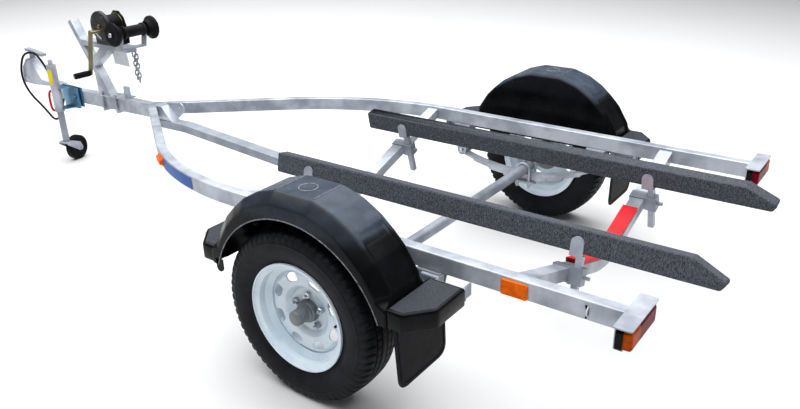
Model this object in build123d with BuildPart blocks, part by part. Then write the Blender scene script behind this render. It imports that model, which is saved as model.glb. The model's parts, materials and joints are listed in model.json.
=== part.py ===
"""A small single-axle boat trailer: wishbone frame, leaf-sprung axle, two carpeted
bunks on four adjustable stems, hand winch with bow roller, ball coupling and a
swing-up jockey wheel.  Millimetres, +X forward, +Y left, +Z up.

The trailer is drawn level, with X = 0 on the axle line and Z = 0 at the ground under
the wheels, and set down nose-low on its jockey wheel when the pieces are written."""

import os
from math import atan2, cos, degrees, hypot, radians, sin, tan

from build123d import *

os.makedirs("parts", exist_ok=True)

# ---------------------------------------------------------------- driving dimensions
# stance
tyre_r = 289.0  # rolling radius, so also the height of the axle line
track_half = 817.0  # wheel centre planes at +/- this
nose_down = 0.86  # degrees of the frame when parked on the jockey wheel
middle_x = 928.0  # level X of the point that becomes the origin

# frame tubes
rail_top, rail_w, rail_h = 501.0, 40.0, 58.0
rail_y = 620.0  # centre line of the straight rails
rail_rear, bend_x = -919.0, 485.0
bend_r, bend_angle, dip = 1315.0, 34.25, 1.5  # the wishbone bend, and its droop
bar_w, bar_h, bar_front = 50.0, 70.0, 2640.0  # drawbar
bar_tail_top, bar_tail_bottom = 1690.0, 1622.0
beam_w, beam_h, beam_kink, beam_rear_top = 60.0, 40.0, 1534.0, 329.0
cross_w, cross_h, cross_drop, cross_r = 50.0, 40.0, 18.6, 350.0
cross_front_x, cross_rear_x, cross_top = 486.0, -608.0, 492.0
corner = 5.0  # outside corners of the square tubes
wall = 3.0
running = 0.05  # radial clearance of everything that turns or slides

# bunks: carpeted boards leaning in at the top
bunk_t, bunk_h, bunk_lean = 51.0, 76.0, 11.0
bunk_slope_x, bunk_tip_x, bunk_tip_drop = -977.0, -1080.0, 49.0
bunks = (  # middle Y, middle Z, front X; each leans in at the top
    ("left", 279.0, 480.0, 618.0),
    ("right", -328.0, 491.0, 640.0),
)
stem_sq, ear_w, ear_t = 22.0, 42.0, 6.0
stem_lean, stem_len = 16.0, 178.0
sleeve_x, sleeve_y, sleeve_z = 44.0, 38.0, 56.0

# wheels
tyre_w, rim_r, rim_half, bead_r, drop_r = 160.0, 181.0, 72.0, 165.0, 146.0
axle_d, spindle_d = 45.0, 30.0
hole_count, hole_pitch_r = 8, 118.0
stud_count, stud_pcd, stud_d = 5, 108.0, 11.0

# mudguards
guard_in, guard_out, guard_t, guard_chamfer = 715.0, 905.0, 4.0, 32.0
guard_x = -16.0  # the guards' middle stands a little behind the axle
guard_half = ((70, 695), (145, 672), (206, 637), (251, 598), (290, 558), (335, 487))
guard_foot, arch_r, lug_foot = 395.0, 334.0, 370.0
step_in, step_out, step_end, step_top = 682.0, 900.0, 460.0, 450.0
step_cut_x, step_cut_y = 67.0, 77.0
flap_top, flap_foot, flap_lean, flap_t = 396.0, 178.0, 4.0, 5.0
flap_in, flap_out = 640.0, 880.0

# springs, at the rails' centre line
leaf_w, leaf_t = 45.0, 7.0
eye_front, eye_rear, eye_r = (322.0, 318.0), (-322.0, 356.0), 16.0
ubolt_d, ubolt_pitch = 12.0, 62.0

# lamps
plate_front, plate_back, plate_in, plate_out = -915.0, -965.0, 532.0, 724.0
plate_t, plate_drop = 4.0, 66.0
lamp_in, lamp_out, lamp_top, lamp_h, lamp_deep = 536.0, 722.0, 499.0, 63.0, 42.0

# winch, its post and the bow roller
post_lean, post_w, post_d, post_len = 33.0, 50.0, 30.0, 452.0
post_back = 2104.0  # where the post's rear face meets the drawbar
arm_top, arm_h, arm_rear = 742.0, 28.0, 1890.0
drum_x, drum_z, drum_r, drum_half = 2034.0, 838.0, 30.0, 36.0
gear_r = 74.0
crank_x, crank_z, crank_len, crank_y, crank_lean = 2003.0, 822.0, 216.0, 134.0, 17.0
roller_x, roller_z, roller_r, bell_r = 1858.0, 822.0, 27.0, 57.0

# jockey wheel, its castor turned as it was left
jockey_x, jockey_y, jockey_trail, jockey_r, jockey_w = 2498.0, 97.0, 67.0, 68.0, 44.0
castor = -74.0  # direction the wheel trails in, degrees from +X towards +Y
jockey_tube_r, jockey_leg_r = 25.0, 18.0
swing_x, swing_z = 2412.0, 418.0  # the swing-up bracket's pin, along Y


def deck(x):
    """Height of the frame's top face at x: level, then drooping past the bend."""
    return rail_top - tan(radians(dip)) * max(0.0, x - bend_x)


def side(y=0.0):
    """Upright sketch plane along the trailer at y: sketch X is X, sketch Y is Z."""
    return Plane(origin=(0, y, 0), x_dir=(1, 0, 0), z_dir=(0, -1, 0))


def across(x):
    """Upright sketch plane across the trailer at x: sketch X is Y, sketch Y is Z."""
    return Plane(origin=(x, 0, 0), x_dir=(0, 1, 0), z_dir=(1, 0, 0))


def flat(z=0.0):
    """Level sketch plane at height z."""
    return Plane.XY.offset(z)


def dip_plane(x, drop=0.0):
    """Plane square to the drooping front frame at x, drop below its top face."""
    lean = radians(dip)
    return Plane(
        origin=(x - drop * sin(lean), 0, deck(x) - drop * cos(lean)),
        x_dir=(0, 1, 0),
        z_dir=(cos(lean), 0, -sin(lean)),
    )


# ------------------------------------------------------------------------ the frame
# Each rail is one tube: straight beside the wheel, then bent inward in the drooping
# plane and mitred along the drawbar's side.
roof = Plane(
    origin=(bend_x, 0, rail_top),
    x_dir=(cos(radians(dip)), 0, -sin(radians(dip))),
    z_dir=(sin(radians(dip)), 0, cos(radians(dip))),
)
turn = radians(bend_angle)
bend_end = (bend_r * sin(turn), rail_y - bend_r * (1 - cos(turn)))
reach = bend_end[1] / sin(turn)
meet = (bend_end[0] + reach * cos(turn), 0.0)

with BuildPart() as rail_left:
    with BuildSketch(across(rail_rear)):
        with Locations((rail_y, rail_top - rail_h / 2)):
            RectangleRounded(rail_w, rail_h, corner)
    extrude(amount=bend_x - rail_rear)
    with BuildLine(roof) as bend:
        JernArc(start=(0, rail_y), tangent=(1, 0), radius=bend_r, arc_size=-bend_angle)
        Line(bend_end, meet)
    with BuildSketch(across(bend_x)):  # the section is the straight tube's own end
        with Locations((rail_y, rail_top - rail_h / 2)):
            RectangleRounded(rail_w, rail_h, corner)
    sweep(path=bend.wires()[0])
    with BuildSketch(flat()):  # mitre against the drawbar
        with Locations((meet[0] + bend_x, bar_w / 2 - 200)):
            Rectangle(800, 400)
    extrude(amount=2 * rail_top, mode=Mode.SUBTRACT)
    with BuildSketch(across(rail_rear)):  # the open rear end
        with Locations((rail_y, rail_top - rail_h / 2)):
            RectangleRounded(rail_w - 2 * wall, rail_h - 2 * wall, corner - wall)
    extrude(amount=90, mode=Mode.SUBTRACT)

with BuildPart() as rail_right:
    mirror(rail_left.part, about=Plane.XZ)

with BuildPart() as drawbar:
    with BuildSketch(side()):
        Polygon(
            (bar_tail_top, deck(bar_tail_top)),
            (bar_tail_bottom, deck(bar_tail_bottom) - bar_h),
            (bar_front, deck(bar_front) - bar_h),
            (bar_front, deck(bar_front)),
            align=None,
        )
    extrude(amount=bar_w / 2, both=True)
    fillet(drawbar.edges().filter_by(lambda e: e.length > 900), radius=corner)

    with BuildSketch(side(-bar_w / 2)):  # rounded ear on the far side of the tail
        with Locations((1610, 460)):
            Circle(28)
        Polygon((1610, 488), (1706, 472), (1706, 420), (1632, 408), (1588, 440), align=None)
        with Locations((1613, 468)):
            Circle(6.5, mode=Mode.SUBTRACT)
    extrude(amount=6)

with BuildPart() as centre_beam:
    kink_top = deck(beam_kink) - bar_h
    beam_front = 1752.0
    with BuildSketch(side()):
        Polygon(
            (cross_front_x + cross_w / 2, beam_rear_top),
            (beam_kink, kink_top),
            (beam_front, deck(beam_front) - bar_h),
            (beam_front, deck(beam_front) - bar_h - beam_h),
            (beam_kink, kink_top - beam_h),
            (cross_front_x + cross_w / 2, beam_rear_top - beam_h),
            align=None,
        )
    extrude(amount=beam_w / 2, both=True)
    fillet(centre_beam.edges().filter_by(lambda e: e.length > 200), radius=corner)

cross_end = rail_y - rail_w / 2
cross_mid = cross_top - cross_end * tan(radians(cross_drop))
crossings = {}
for name, x in (("front", cross_front_x), ("rear", cross_rear_x)):
    with BuildPart() as crossing:
        with BuildSketch(across(x - cross_w / 2)) as vee:
            Polygon(
                (-cross_end, cross_top),
                (0, cross_mid),
                (cross_end, cross_top),
                (cross_end, cross_top - cross_h / cos(radians(cross_drop))),
                (0, cross_mid - cross_h / cos(radians(cross_drop))),
                (-cross_end, cross_top - cross_h / cos(radians(cross_drop))),
                align=None,
            )
            for row, r in ((1, cross_r), (0, cross_r + cross_h)):  # top, then underside
                middle = vee.vertices().filter_by(lambda v: abs(v.X) < 1)
                fillet(middle.sort_by(Axis.Y)[row], radius=r)
        extrude(amount=cross_w)
        if x + cross_w / 2 > bend_x:  # coped where the rails have begun to bend
            for rail in (rail_left, rail_right):
                add(rail.part, mode=Mode.SUBTRACT)
    crossings[name] = crossing

with BuildPart() as keel_pad:  # red pad that saves the keel, on the rear cross-member
    pad_y, pad_t = 245.0, 14.0
    with BuildSketch(across(cross_rear_x - cross_w / 2 - 2)) as vee:
        for lift, mode in ((pad_t, Mode.ADD), (0, Mode.SUBTRACT)):
            with BuildSketch(vee.workplanes[0], mode=mode) as band:
                Polygon(
                    (-cross_end, cross_top + lift / cos(radians(cross_drop))),
                    (0, cross_mid + lift / cos(radians(cross_drop))),
                    (cross_end, cross_top + lift / cos(radians(cross_drop))),
                    (cross_end, 0),
                    (-cross_end, 0),
                    align=None,
                )
                middle = band.vertices().sort_by(lambda v: abs(v.X))[0]
                fillet(middle, radius=cross_r - lift)
        with Locations((0, cross_mid)):
            Rectangle(2 * pad_y, 400, mode=Mode.INTERSECT)
    extrude(amount=cross_w + 4)

# ---------------------------------------------------------------- axle and springs
axle_z = tyre_r
axle_end = track_half - 80

with BuildPart() as axle:
    with BuildSketch(Plane.XZ.offset(-axle_end)):
        with Locations((0, axle_z)):
            Circle(axle_d / 2)
    extrude(amount=2 * axle_end)
    for y, way in ((axle_end, -1), (-axle_end, 1)):
        with BuildSketch(Plane.XZ.offset(-y)):
            with Locations((0, axle_z)):
                Circle(spindle_d / 2)
        extrude(amount=way * 104)

seat_z = axle_z - axle_d / 2
leaf_r, leaf_x = 879.0, 52.0  # the leaves' common centre lies above the axle
leaf_halves = (322.0, 262.0, 182.0, 104.0)  # half lengths, from the top leaf down
pack_foot = seat_z - leaf_t * len(leaf_halves) - 2

with BuildPart() as leaf_springs:
    for y in (rail_y, -rail_y):
        for k, half in enumerate(leaf_halves):
            with BuildSketch(side(y - leaf_w / 2)):
                with Locations((leaf_x, seat_z + leaf_r - 2)):
                    Circle(leaf_r + leaf_t * (k + 1))
                    Circle(leaf_r + leaf_t * k, mode=Mode.SUBTRACT)
                with Locations((0, seat_z)):
                    Rectangle(2 * half, 260, mode=Mode.INTERSECT)
            extrude(amount=-leaf_w)
        with BuildSketch(side(y - leaf_w / 2)):
            with Locations(eye_front, eye_rear):
                Circle(eye_r)
        extrude(amount=-leaf_w)
        with BuildSketch(side(y - leaf_w / 2)):
            with Locations(eye_front, eye_rear):
                Circle(eye_r - 6)
        extrude(amount=-leaf_w, mode=Mode.SUBTRACT)

rail_foot = rail_top - rail_h
with BuildPart() as spring_hangers:
    cheek_t = 5.0
    for y in (rail_y, -rail_y):
        for eye in (eye_front, eye_rear):
            with BuildSketch(side(y - leaf_w / 2 - cheek_t - 2)):  # cheeks round the eye
                with Locations(eye):
                    Circle(22)
                Polygon(
                    (eye[0] - 40, rail_foot),
                    (eye[0] + 40, rail_foot),
                    (eye[0] + 21, eye[1] - 6),
                    (eye[0] - 21, eye[1] - 6),
                    align=None,
                )
            extrude(amount=-(leaf_w + 2 * cheek_t + 4))
            with BuildSketch(side(y - leaf_w / 2 - 1)):
                with Locations((eye[0], (eye[1] + rail_foot) / 2 - 30)):
                    Rectangle(100, rail_foot - eye[1] + 48, mode=Mode.ADD)
            extrude(amount=-(leaf_w + 2), mode=Mode.SUBTRACT)
            with BuildSketch(side(y - leaf_w / 2 - cheek_t - 10)):  # the eye's bolt
                with Locations(eye):
                    Circle(6.5)
            extrude(amount=-(leaf_w + 2 * cheek_t + 20))

with BuildPart() as spring_bushes:  # red bushes in the front eyes
    for y in (rail_y, -rail_y):
        for w, r in ((leaf_w, eye_r - 6), (leaf_w + 2, 0)):
            with BuildSketch(side(y - w / 2)):
                with Locations(eye_front, eye_rear):
                    Circle(eye_r - 6)
                    Circle(6.5, mode=Mode.SUBTRACT)
            extrude(amount=-w)

with BuildPart() as axle_clamps:  # U-bolts over the axle, plates and nuts below
    plate_z = pack_foot - 8
    leg = axle_d / 2 + ubolt_d / 2
    for y in (rail_y, -rail_y):
        with BuildSketch(flat(plate_z)):
            with Locations((0, y)):
                RectangleRounded(92, 84, 8)
        extrude(amount=8)
        for bolt_y in (y - 31, y + 31):
            with BuildLine(side(bolt_y)) as hoop:
                Line((leg, plate_z - 22), (leg, axle_z))
                ThreePointArc((leg, axle_z), (0, axle_z + leg), (-leg, axle_z))
                Line((-leg, axle_z), (-leg, plate_z - 22))
            with BuildSketch(flat(plate_z - 22)):
                with Locations((leg, bolt_y)):
                    Circle(ubolt_d / 2)
            sweep(path=hoop.wires()[0])
            with BuildSketch(flat(plate_z - 11)):
                with Locations((leg, bolt_y), (-leg, bolt_y)):
                    RegularPolygon(10, 6)
            extrude(amount=11)

# -------------------------------------------------------------------------- wheels
hub_line = Axis((0, 0, axle_z), (0, 1, 0))
wheel_plane = Plane(origin=(0, track_half, axle_z), x_dir=(0, 1, 0), z_dir=(1, 0, 0))

with BuildPart() as tyre_left:  # sketch X is outboard, sketch Y is the radius
    with BuildSketch(wheel_plane):
        with BuildLine():
            tread = ThreePointArc((-56, tyre_r - 5), (0, tyre_r), (56, tyre_r - 5))
            for way in (1, -1):
                shoulder = ThreePointArc(
                    (way * 56, tyre_r - 5), (way * 70, tyre_r - 13), (way * 76, tyre_r - 30)
                )
                belly = ThreePointArc(
                    shoulder @ 1, (way * tyre_w / 2, 229), (way * 64, rim_r + 3)
                )
                Polyline(belly @ 1, (way * 57, bead_r), (way * 40, bead_r))
                Line((way * 40, bead_r), (way * 50, rim_r + 6))
                ThreePointArc(
                    (way * 50, rim_r + 6), (way * 68, 231), (way * 58, tyre_r - 32)
                )
            ThreePointArc((-58, tyre_r - 32), (0, tyre_r - 14), (58, tyre_r - 32))
        make_face()
    revolve(axis=hub_line)

with BuildPart() as rim_left:
    rim_t = 4.0
    disc_out = 26.0  # how far the wheel's face stands outboard of its centre plane
    with BuildSketch(wheel_plane):
        with BuildLine():
            Polyline(  # barrel
                (-rim_half, rim_r), (-rim_half + 9, rim_r), (-57, bead_r), (-34, bead_r),
                (-24, drop_r), (20, drop_r), (34, bead_r), (57, bead_r),
                (rim_half - 9, rim_r), (rim_half, rim_r), (rim_half, rim_r - rim_t),
                (rim_half - 5, rim_r - rim_t), (61, bead_r - rim_t), (37, bead_r - rim_t),
                (23, drop_r - rim_t), (-27, drop_r - rim_t), (-37, bead_r - rim_t),
                (-61, bead_r - rim_t), (-rim_half + 5, rim_r - rim_t),
                (-rim_half, rim_r - rim_t), close=True,
            )
        make_face()
        with BuildLine():
            Polyline(  # dished disc
                (6, drop_r - 3), (16, drop_r - 3), (disc_out, 128), (disc_out, 112),
                (disc_out - 6, 88), (4, 72), (4, 30), (0, 30), (0, 74), (disc_out - 11, 91),
                (disc_out - 5, 112), (disc_out - 5, 126), (12, 133), (6, 133), close=True,
            )
        make_face()
    revolve(axis=hub_line)
    with BuildSketch(Plane.XZ.offset(-track_half - rim_half)):
        with Locations((0, axle_z)):
            with PolarLocations(hole_pitch_r, hole_count, start_angle=22.5):
                with Locations((0, 0)):
                    RectangleRounded(31, 46, 13)
            with PolarLocations(stud_pcd / 2, stud_count, start_angle=90):
                Circle(stud_d / 2 + 1)
    extrude(amount=2 * rim_half, mode=Mode.SUBTRACT)

with BuildPart() as hub_left:
    with BuildSketch(wheel_plane):
        with BuildLine():
            Polyline(
                (-66, spindle_d / 2 + running), (-66, 30), (-12, 38), (-12, 68), (0, 68),
                (0, 29.5), (26, 29.5), (30, 24), (72, 22), (78, 14), (78, 0), (30, 0),
                (30, spindle_d / 2 + running), close=True,
            )
        make_face()
    revolve(axis=hub_line)
    for r, y0, y1 in ((stud_d / 2, -6, 24), (0, 4, 18)):
        with BuildSketch(Plane.XZ.offset(-track_half - y0)):
            with Locations((0, axle_z)):
                with PolarLocations(stud_pcd / 2, stud_count, start_angle=90):
                    if r:
                        Circle(r)
                    else:
                        RegularPolygon(10.5, 6)
        extrude(amount=-(y1 - y0))

right_hand = {}
for name, piece in (("tyre", tyre_left), ("rim", rim_left), ("hub", hub_left)):
    with BuildPart() as twin:
        mirror(piece.part, about=Plane.XZ)
    right_hand[name] = twin

# ----------------------------------------------------------------------- mudguards
def guard_form(inset):
    """The mudguard's block with its faces inset: its outside, or the hollow in it."""
    ledge = guard_half[-1][0] + 9
    half = list(guard_half) + [(ledge, step_top), (ledge, guard_foot)]
    outline = half + [(-x, z) for x, z in reversed(half)]
    drop = 20 if inset else 0  # the hollow runs out below
    with BuildPart() as form:
        with BuildSketch(side(guard_out - inset)):
            Polygon(*[(guard_x + x, z) for x, z in outline], align=None)
            if inset:
                offset(amount=-inset)
                with Locations((guard_x, guard_foot)):
                    Rectangle(2 * (ledge - inset), 2 * drop)
        extrude(amount=guard_out - guard_in - 2 * inset)
        for face_y, size in ((guard_out - inset, guard_chamfer), (guard_in + inset, 16)):
            brow = form.edges().filter_by(lambda e: abs(e.center().Y - face_y) < 1)
            chamfer(brow.filter_by(lambda e: e.center().Z > step_top + 8), length=size)
        with BuildSketch(flat(guard_foot - drop)):
            for way in (1, -1):
                # each step is its own pocket, closed off from the wheel by the ledge's wall
                near = ledge + inset if inset else ledge - 20
                Polygon(
                    (guard_x + way * near, step_in + inset),
                    (guard_x + way * (step_end - inset), step_in + inset),
                    (guard_x + way * (step_end - inset), step_out - step_cut_y - inset / 2),
                    (guard_x + way * (step_end - step_cut_x - inset / 2), step_out - inset),
                    (guard_x + way * near, step_out - inset), align=None,
                )
        extrude(amount=step_top - guard_foot - inset + drop)
    return form.part


with BuildPart() as mudguard_left:
    add(guard_form(0.0))
    add(guard_form(guard_t), mode=Mode.SUBTRACT)
    with BuildSketch(Plane.XZ.offset(-guard_out - 10)):
        with Locations((guard_x, axle_z)):
            Circle(arch_r)
    extrude(amount=40, mode=Mode.SUBTRACT)
    # rounded lug under the front of the outer skirt
    lug_x = guard_x + guard_half[-1][0] - 22
    with BuildSketch(Plane.XZ.offset(-guard_out + guard_t)):
        with Locations((lug_x, lug_foot + 15)):
            Circle(15)
        with Locations((lug_x, (lug_foot + 15 + guard_foot + 12) / 2)):
            Rectangle(30, guard_foot + 12 - lug_foot - 15)
    extrude(amount=-guard_t)

with BuildPart() as mudguard_right:
    mirror(mudguard_left.part, about=Plane.XZ)

with BuildPart() as mudflaps:  # hung under the rear steps
    flap_x = guard_x - (step_end - step_cut_x - 30.0)
    for way in (1, -1):
        with BuildSketch(across(flap_x)) as flap:
            Polygon(
                (way * (flap_in + 10), guard_foot),
                (way * (flap_out + 20), guard_foot),
                (way * flap_out, flap_foot),
                (way * flap_in, flap_foot),
                align=None,
            )
            fillet(flap.vertices().group_by(Axis.Y)[0], radius=22)
        extrude(amount=-flap_t)

with BuildPart() as guard_brackets:  # strips on the steps' inboard walls, tied to the rails
    strip_t, strip_h = 5.0, 38.0
    rail_face = rail_y + rail_w / 2
    for way in (1, -1):
        for fore, near, far in ((1, 372, 436), (-1, 373, 466)):
            with BuildSketch(flat(step_top - 6 - strip_h)):
                with Locations((guard_x + fore * 406, way * (step_in - strip_t / 2))):
                    Rectangle(104, strip_t)
                for x in (near, far):
                    with Locations((fore * x, way * (rail_face + step_in) / 2)):
                        Rectangle(6, step_in - rail_face)
            extrude(amount=strip_h)
            with BuildSketch(across(fore * (near - 61))):
                with Locations((way * (rail_face + 19), step_top - 14)):
                    Circle(8.5)
            extrude(amount=fore * 60)

# --------------------------------------------------------------------------- lamps
with BuildPart() as lamp_brackets:
    for way in (1, -1):
        mid = way * (plate_in + plate_out) / 2
        with BuildSketch(flat(rail_top)):
            with Locations(((plate_front + plate_back) / 2, mid)):
                RectangleRounded(plate_front - plate_back, plate_out - plate_in, 6)
        extrude(amount=plate_t)
        with BuildSketch(across(rail_rear - plate_t)):
            with Locations((mid, rail_top - plate_drop / 2 + plate_t)):
                Rectangle(plate_out - plate_in - 12, plate_drop)
        extrude(amount=plate_t)

lamp_mid = (lamp_in + lamp_out) / 2
lamp_w, lamp_foot = lamp_out - lamp_in, lamp_top - lamp_h
lamp_split = lamp_out - lamp_w * 0.34
with BuildPart() as lamp_bases:
    for way in (1, -1):
        with BuildSketch(across(rail_rear - plate_t)):
            with Locations((way * lamp_mid, (lamp_top + lamp_foot) / 2)):
                RectangleRounded(lamp_w, lamp_h, 12)
        extrude(amount=-lamp_deep * 0.45)

lenses = {}
for name, a, b in (("red", lamp_in + 4, lamp_split), ("amber", lamp_split, lamp_out - 4)):
    with BuildPart() as lens:
        for way in (1, -1):
            with BuildSketch(across(rail_rear - plate_t - lamp_deep * 0.45)):
                with Locations((way * lamp_mid, (lamp_top + lamp_foot) / 2)):
                    RectangleRounded(lamp_w - 8, lamp_h - 8, 10)
                with Locations((way * (a + b) / 2, lamp_foot)):
                    Rectangle(b - a, 3 * lamp_h, mode=Mode.INTERSECT)
            extrude(amount=-lamp_deep * 0.55)
        rear_face = lens.edges().group_by(Axis.X)[0]
        fillet(rear_face.filter_by(lambda e: abs(e.center().Z - lamp_foot - lamp_h / 2) > 8), 9)
    lenses[name] = lens

with BuildPart() as side_reflectors:
    for way in (1, -1):
        with BuildSketch(Plane.XZ.offset(-way * (rail_y + rail_w / 2))):
            with Locations((-605.5, 469)):
                RectangleRounded(81, 46, 5)
        extrude(amount=-way * 7)

with BuildPart() as front_markers:  # oval lamps on the bends' outer faces
    marker_at = radians(27.5)  # how far round the bend
    face_r = bend_r + rail_w / 2
    for way in (1, -1):
        out_x, out_y = sin(marker_at), way * cos(marker_at)
        marker_x = bend_x + face_r * out_x
        face = Plane(
            origin=(marker_x - 2 * out_x, way * (rail_y - bend_r) + (face_r - 2) * out_y,
                    deck(marker_x) - rail_h / 2),
            x_dir=(-out_y, out_x, 0), z_dir=(out_x, out_y, 0),
        )
        with BuildSketch(face):
            SlotOverall(92, 40)
        extrude(amount=5)
        with BuildSketch(face.offset(5)):
            SlotOverall(84, 32)
        extrude(amount=10, taper=20)
    for rail in (rail_left, rail_right):
        add(rail.part, mode=Mode.SUBTRACT)

# --------------------------------------------------------------------------- bunks
boards = {}
for name, y, z, nose in bunks:
    lean = radians(bunk_lean if y > 0 else -bunk_lean)
    board_plane = Plane(
        origin=(0, y, z), x_dir=(1, 0, 0), z_dir=(0, -cos(lean), -sin(lean))
    )
    with BuildPart() as board:
        with BuildSketch(board_plane):
            Polygon(
                (nose, -bunk_h / 2), (nose, bunk_h / 2), (bunk_slope_x, bunk_h / 2),
                (bunk_tip_x, bunk_h / 2 - bunk_tip_drop),
                (bunk_tip_x + 17, -bunk_h / 2), align=None,
            )
        extrude(amount=bunk_t / 2, both=True)
        tip = board.edges().group_by(Axis.X)[0].filter_by(lambda e: e.length > 40)
        fillet(tip, radius=11)
        fillet(board.edges().filter_by(lambda e: e.length > 60), radius=5)
    boards[name] = board


def bunk_face(y, z, up, out=0.0):
    """Point (Y, Z) on a board's left face: up from its middle, out from the face."""
    lean = radians(bunk_lean if y > 0 else -bunk_lean)
    across_t = bunk_t / 2 + out
    return y + across_t * cos(lean) - up * sin(lean), z + across_t * sin(lean) + up * cos(lean)


def stem_plane(x, y, z):
    """Plane square to a stem, at its top under the board's left face."""
    way = 1 if y > 0 else -1
    top_y, top_z = bunk_face(y, z, -bunk_h / 2 - 7, -6)
    lean = radians(stem_lean)
    return Plane(
        origin=(x, top_y, top_z), x_dir=(1, 0, 0), z_dir=(0, way * sin(lean), -cos(lean))
    )


with BuildPart() as bunk_stems:
    for cross_x in (cross_front_x, cross_rear_x):
        bar_x = cross_x - cross_w / 2 - sleeve_x / 2
        for name, y, z, nose in bunks:
            lean = radians(bunk_lean if y > 0 else -bunk_lean)
            foot = bunk_face(y, z, -bunk_h / 2 - 8)
            ear_plane = Plane(
                origin=(bar_x + 13, *foot), x_dir=(1, 0, 0),
                z_dir=(0, cos(lean), sin(lean)),
            )
            with BuildSketch(ear_plane):
                with Locations((0, -18)):
                    Rectangle(ear_w, 42)
                with Locations((0, -40)):
                    Circle(ear_w / 2)
            extrude(amount=ear_t)
            with BuildSketch(stem_plane(bar_x, y, z)):
                RectangleRounded(stem_sq, stem_sq, 2)
            extrude(amount=stem_len)

with BuildPart() as stem_clamps:
    for cross_x in (cross_front_x, cross_rear_x):
        bar_x = cross_x - cross_w / 2 - sleeve_x / 2
        for name, y, z, nose in bunks:
            way = 1 if y > 0 else -1
            top = stem_plane(bar_x, y, z)
            slope, lean = radians(cross_drop), radians(stem_lean)
            # where the stem crosses the middle of the limb
            limb = cross_mid - cross_h / 2 / cos(slope)
            run = (top.origin.Z - limb - abs(top.origin.Y) * tan(slope)) / (
                cos(lean) + sin(lean) * tan(slope)
            )
            hold = (cross_x, top.origin.Y + way * run * sin(lean), top.origin.Z - run * cos(lean))
            limb_plane = Plane(
                origin=hold, x_dir=(1, 0, 0), z_dir=(0, -cos(slope), -way * sin(slope))
            )
            with BuildSketch(limb_plane):
                with Locations((bar_x - cross_x, 0)):
                    Rectangle(sleeve_x, sleeve_z)
                Rectangle(cross_w + 10, cross_h + 10)
                Rectangle(cross_w, cross_h, mode=Mode.SUBTRACT)
            extrude(amount=sleeve_y / 2, both=True)
            with BuildSketch(limb_plane.offset(0)):
                with Locations((bar_x - cross_x - sleeve_x / 2 - 9, 0)):
                    Rectangle(20, 10)
            extrude(amount=5, both=True)
            with BuildSketch(top):
                Rectangle(stem_sq + 0.6, stem_sq + 0.6)
            extrude(amount=stem_len + 40, mode=Mode.SUBTRACT)

# ----------------------------------------------------- winch post, winch and bow roller
lean = radians(post_lean)
post_axis = (sin(lean), 0, cos(lean))
post_foot = deck(post_back)
post_plane = Plane(
    origin=(post_back, 0, post_foot), x_dir=(cos(lean), 0, -sin(lean)), z_dir=post_axis
)
base_t = 5.0  # the channel plate between drawbar and post
with BuildPart() as winch_post:
    with BuildSketch(post_plane.offset(-30)):
        with Locations((post_d / 2, 0)):
            RectangleRounded(post_d, post_w, 4)
    extrude(amount=post_len + 30)
    with BuildSketch(post_plane.offset(post_len)):  # open top end
        with Locations((post_d / 2, 0)):
            RectangleRounded(post_d - 2 * wall, post_w - 2 * wall, 2)
    extrude(amount=-160, mode=Mode.SUBTRACT)
    with BuildSketch(side(post_w / 2)):  # foot gusset
        Polygon(
            (2118, deck(2118)), (2205, deck(2205)), (2212, 590), (2190, 590), align=None
        )
    extrude(amount=post_w)
    with BuildSketch(side(60)):  # trimmed along the drawbar's top
        Polygon(
            (1900, deck(1900) + base_t), (2400, deck(2400) + base_t), (2400, 300), (1900, 300),
            align=None,
        )
    extrude(amount=120, mode=Mode.SUBTRACT)

with BuildPart() as post_base:  # channel on the drawbar, with its lug and U-bolts
    base_rear, base_front = 1972.0, 2216.0
    for a, b, half, rise in (
        (base_rear, base_front, bar_w / 2 + 12, base_t),
        (base_rear, base_rear + 34, 8, 62),
    ):
        with BuildSketch(side(half)):
            Polygon(
                (a, deck(a)), (b, deck(b)), (b, deck(b) + rise), (a, deck(a) + rise),
                align=None,
            )
        extrude(amount=2 * half)
    for x in (2056.0, 2170.0):
        leg = bar_w / 2 + 6
        with BuildSketch(across(x - 5)):
            with Locations((0, deck(x) - (bar_h + 12) / 2 + 10)):
                Rectangle(2 * leg + 10, bar_h + 32)
                Rectangle(2 * leg - 10, bar_h + 200, mode=Mode.SUBTRACT)
            with Locations((0, deck(x) - bar_h - 5 - 2)):
                Rectangle(2 * leg + 10, 10)
        extrude(amount=10)



def post_rear(z):
    """X of the post's rear face at height z."""
    return post_back + (z - post_foot) * tan(radians(post_lean))


with BuildPart() as winch_platform:  # arm off the post, brace under it, roller cradle
    arm_y = 28.0
    with BuildSketch(side(arm_y)):
        Polygon(
            (arm_rear, arm_top), (post_rear(arm_top), arm_top),
            (post_rear(arm_top - arm_h), arm_top - arm_h), (arm_rear, arm_top - arm_h),
            align=None,
        )
    extrude(amount=2 * arm_y)
    with BuildSketch(side(24)):
        Polygon(
            (2053, 716), (2125, 716), (post_rear(640), 640), (post_rear(606), 606),
            (2099, 676), align=None,
        )
    extrude(amount=48)
    ear_y, ear_t2, spindle_r = 72.0, 6.0, 8.0
    with BuildSketch(flat(arm_top - 8)):
        with Locations((arm_rear - 8, 0)):
            Rectangle(36, 2 * ear_y)
    extrude(amount=8)
    for y in (ear_y, -ear_y + ear_t2):
        with BuildSketch(side(y)):
            with Locations((roller_x, roller_z)):
                Circle(17)
            Polygon(
                (roller_x - 17, roller_z), (roller_x + 17, roller_z),
                (arm_rear + 10, arm_top - 8), (arm_rear - 26, arm_top - 8), align=None,
            )
            with Locations((roller_x, roller_z)):
                Circle(spindle_r + running, mode=Mode.SUBTRACT)
        extrude(amount=ear_t2)

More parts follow.
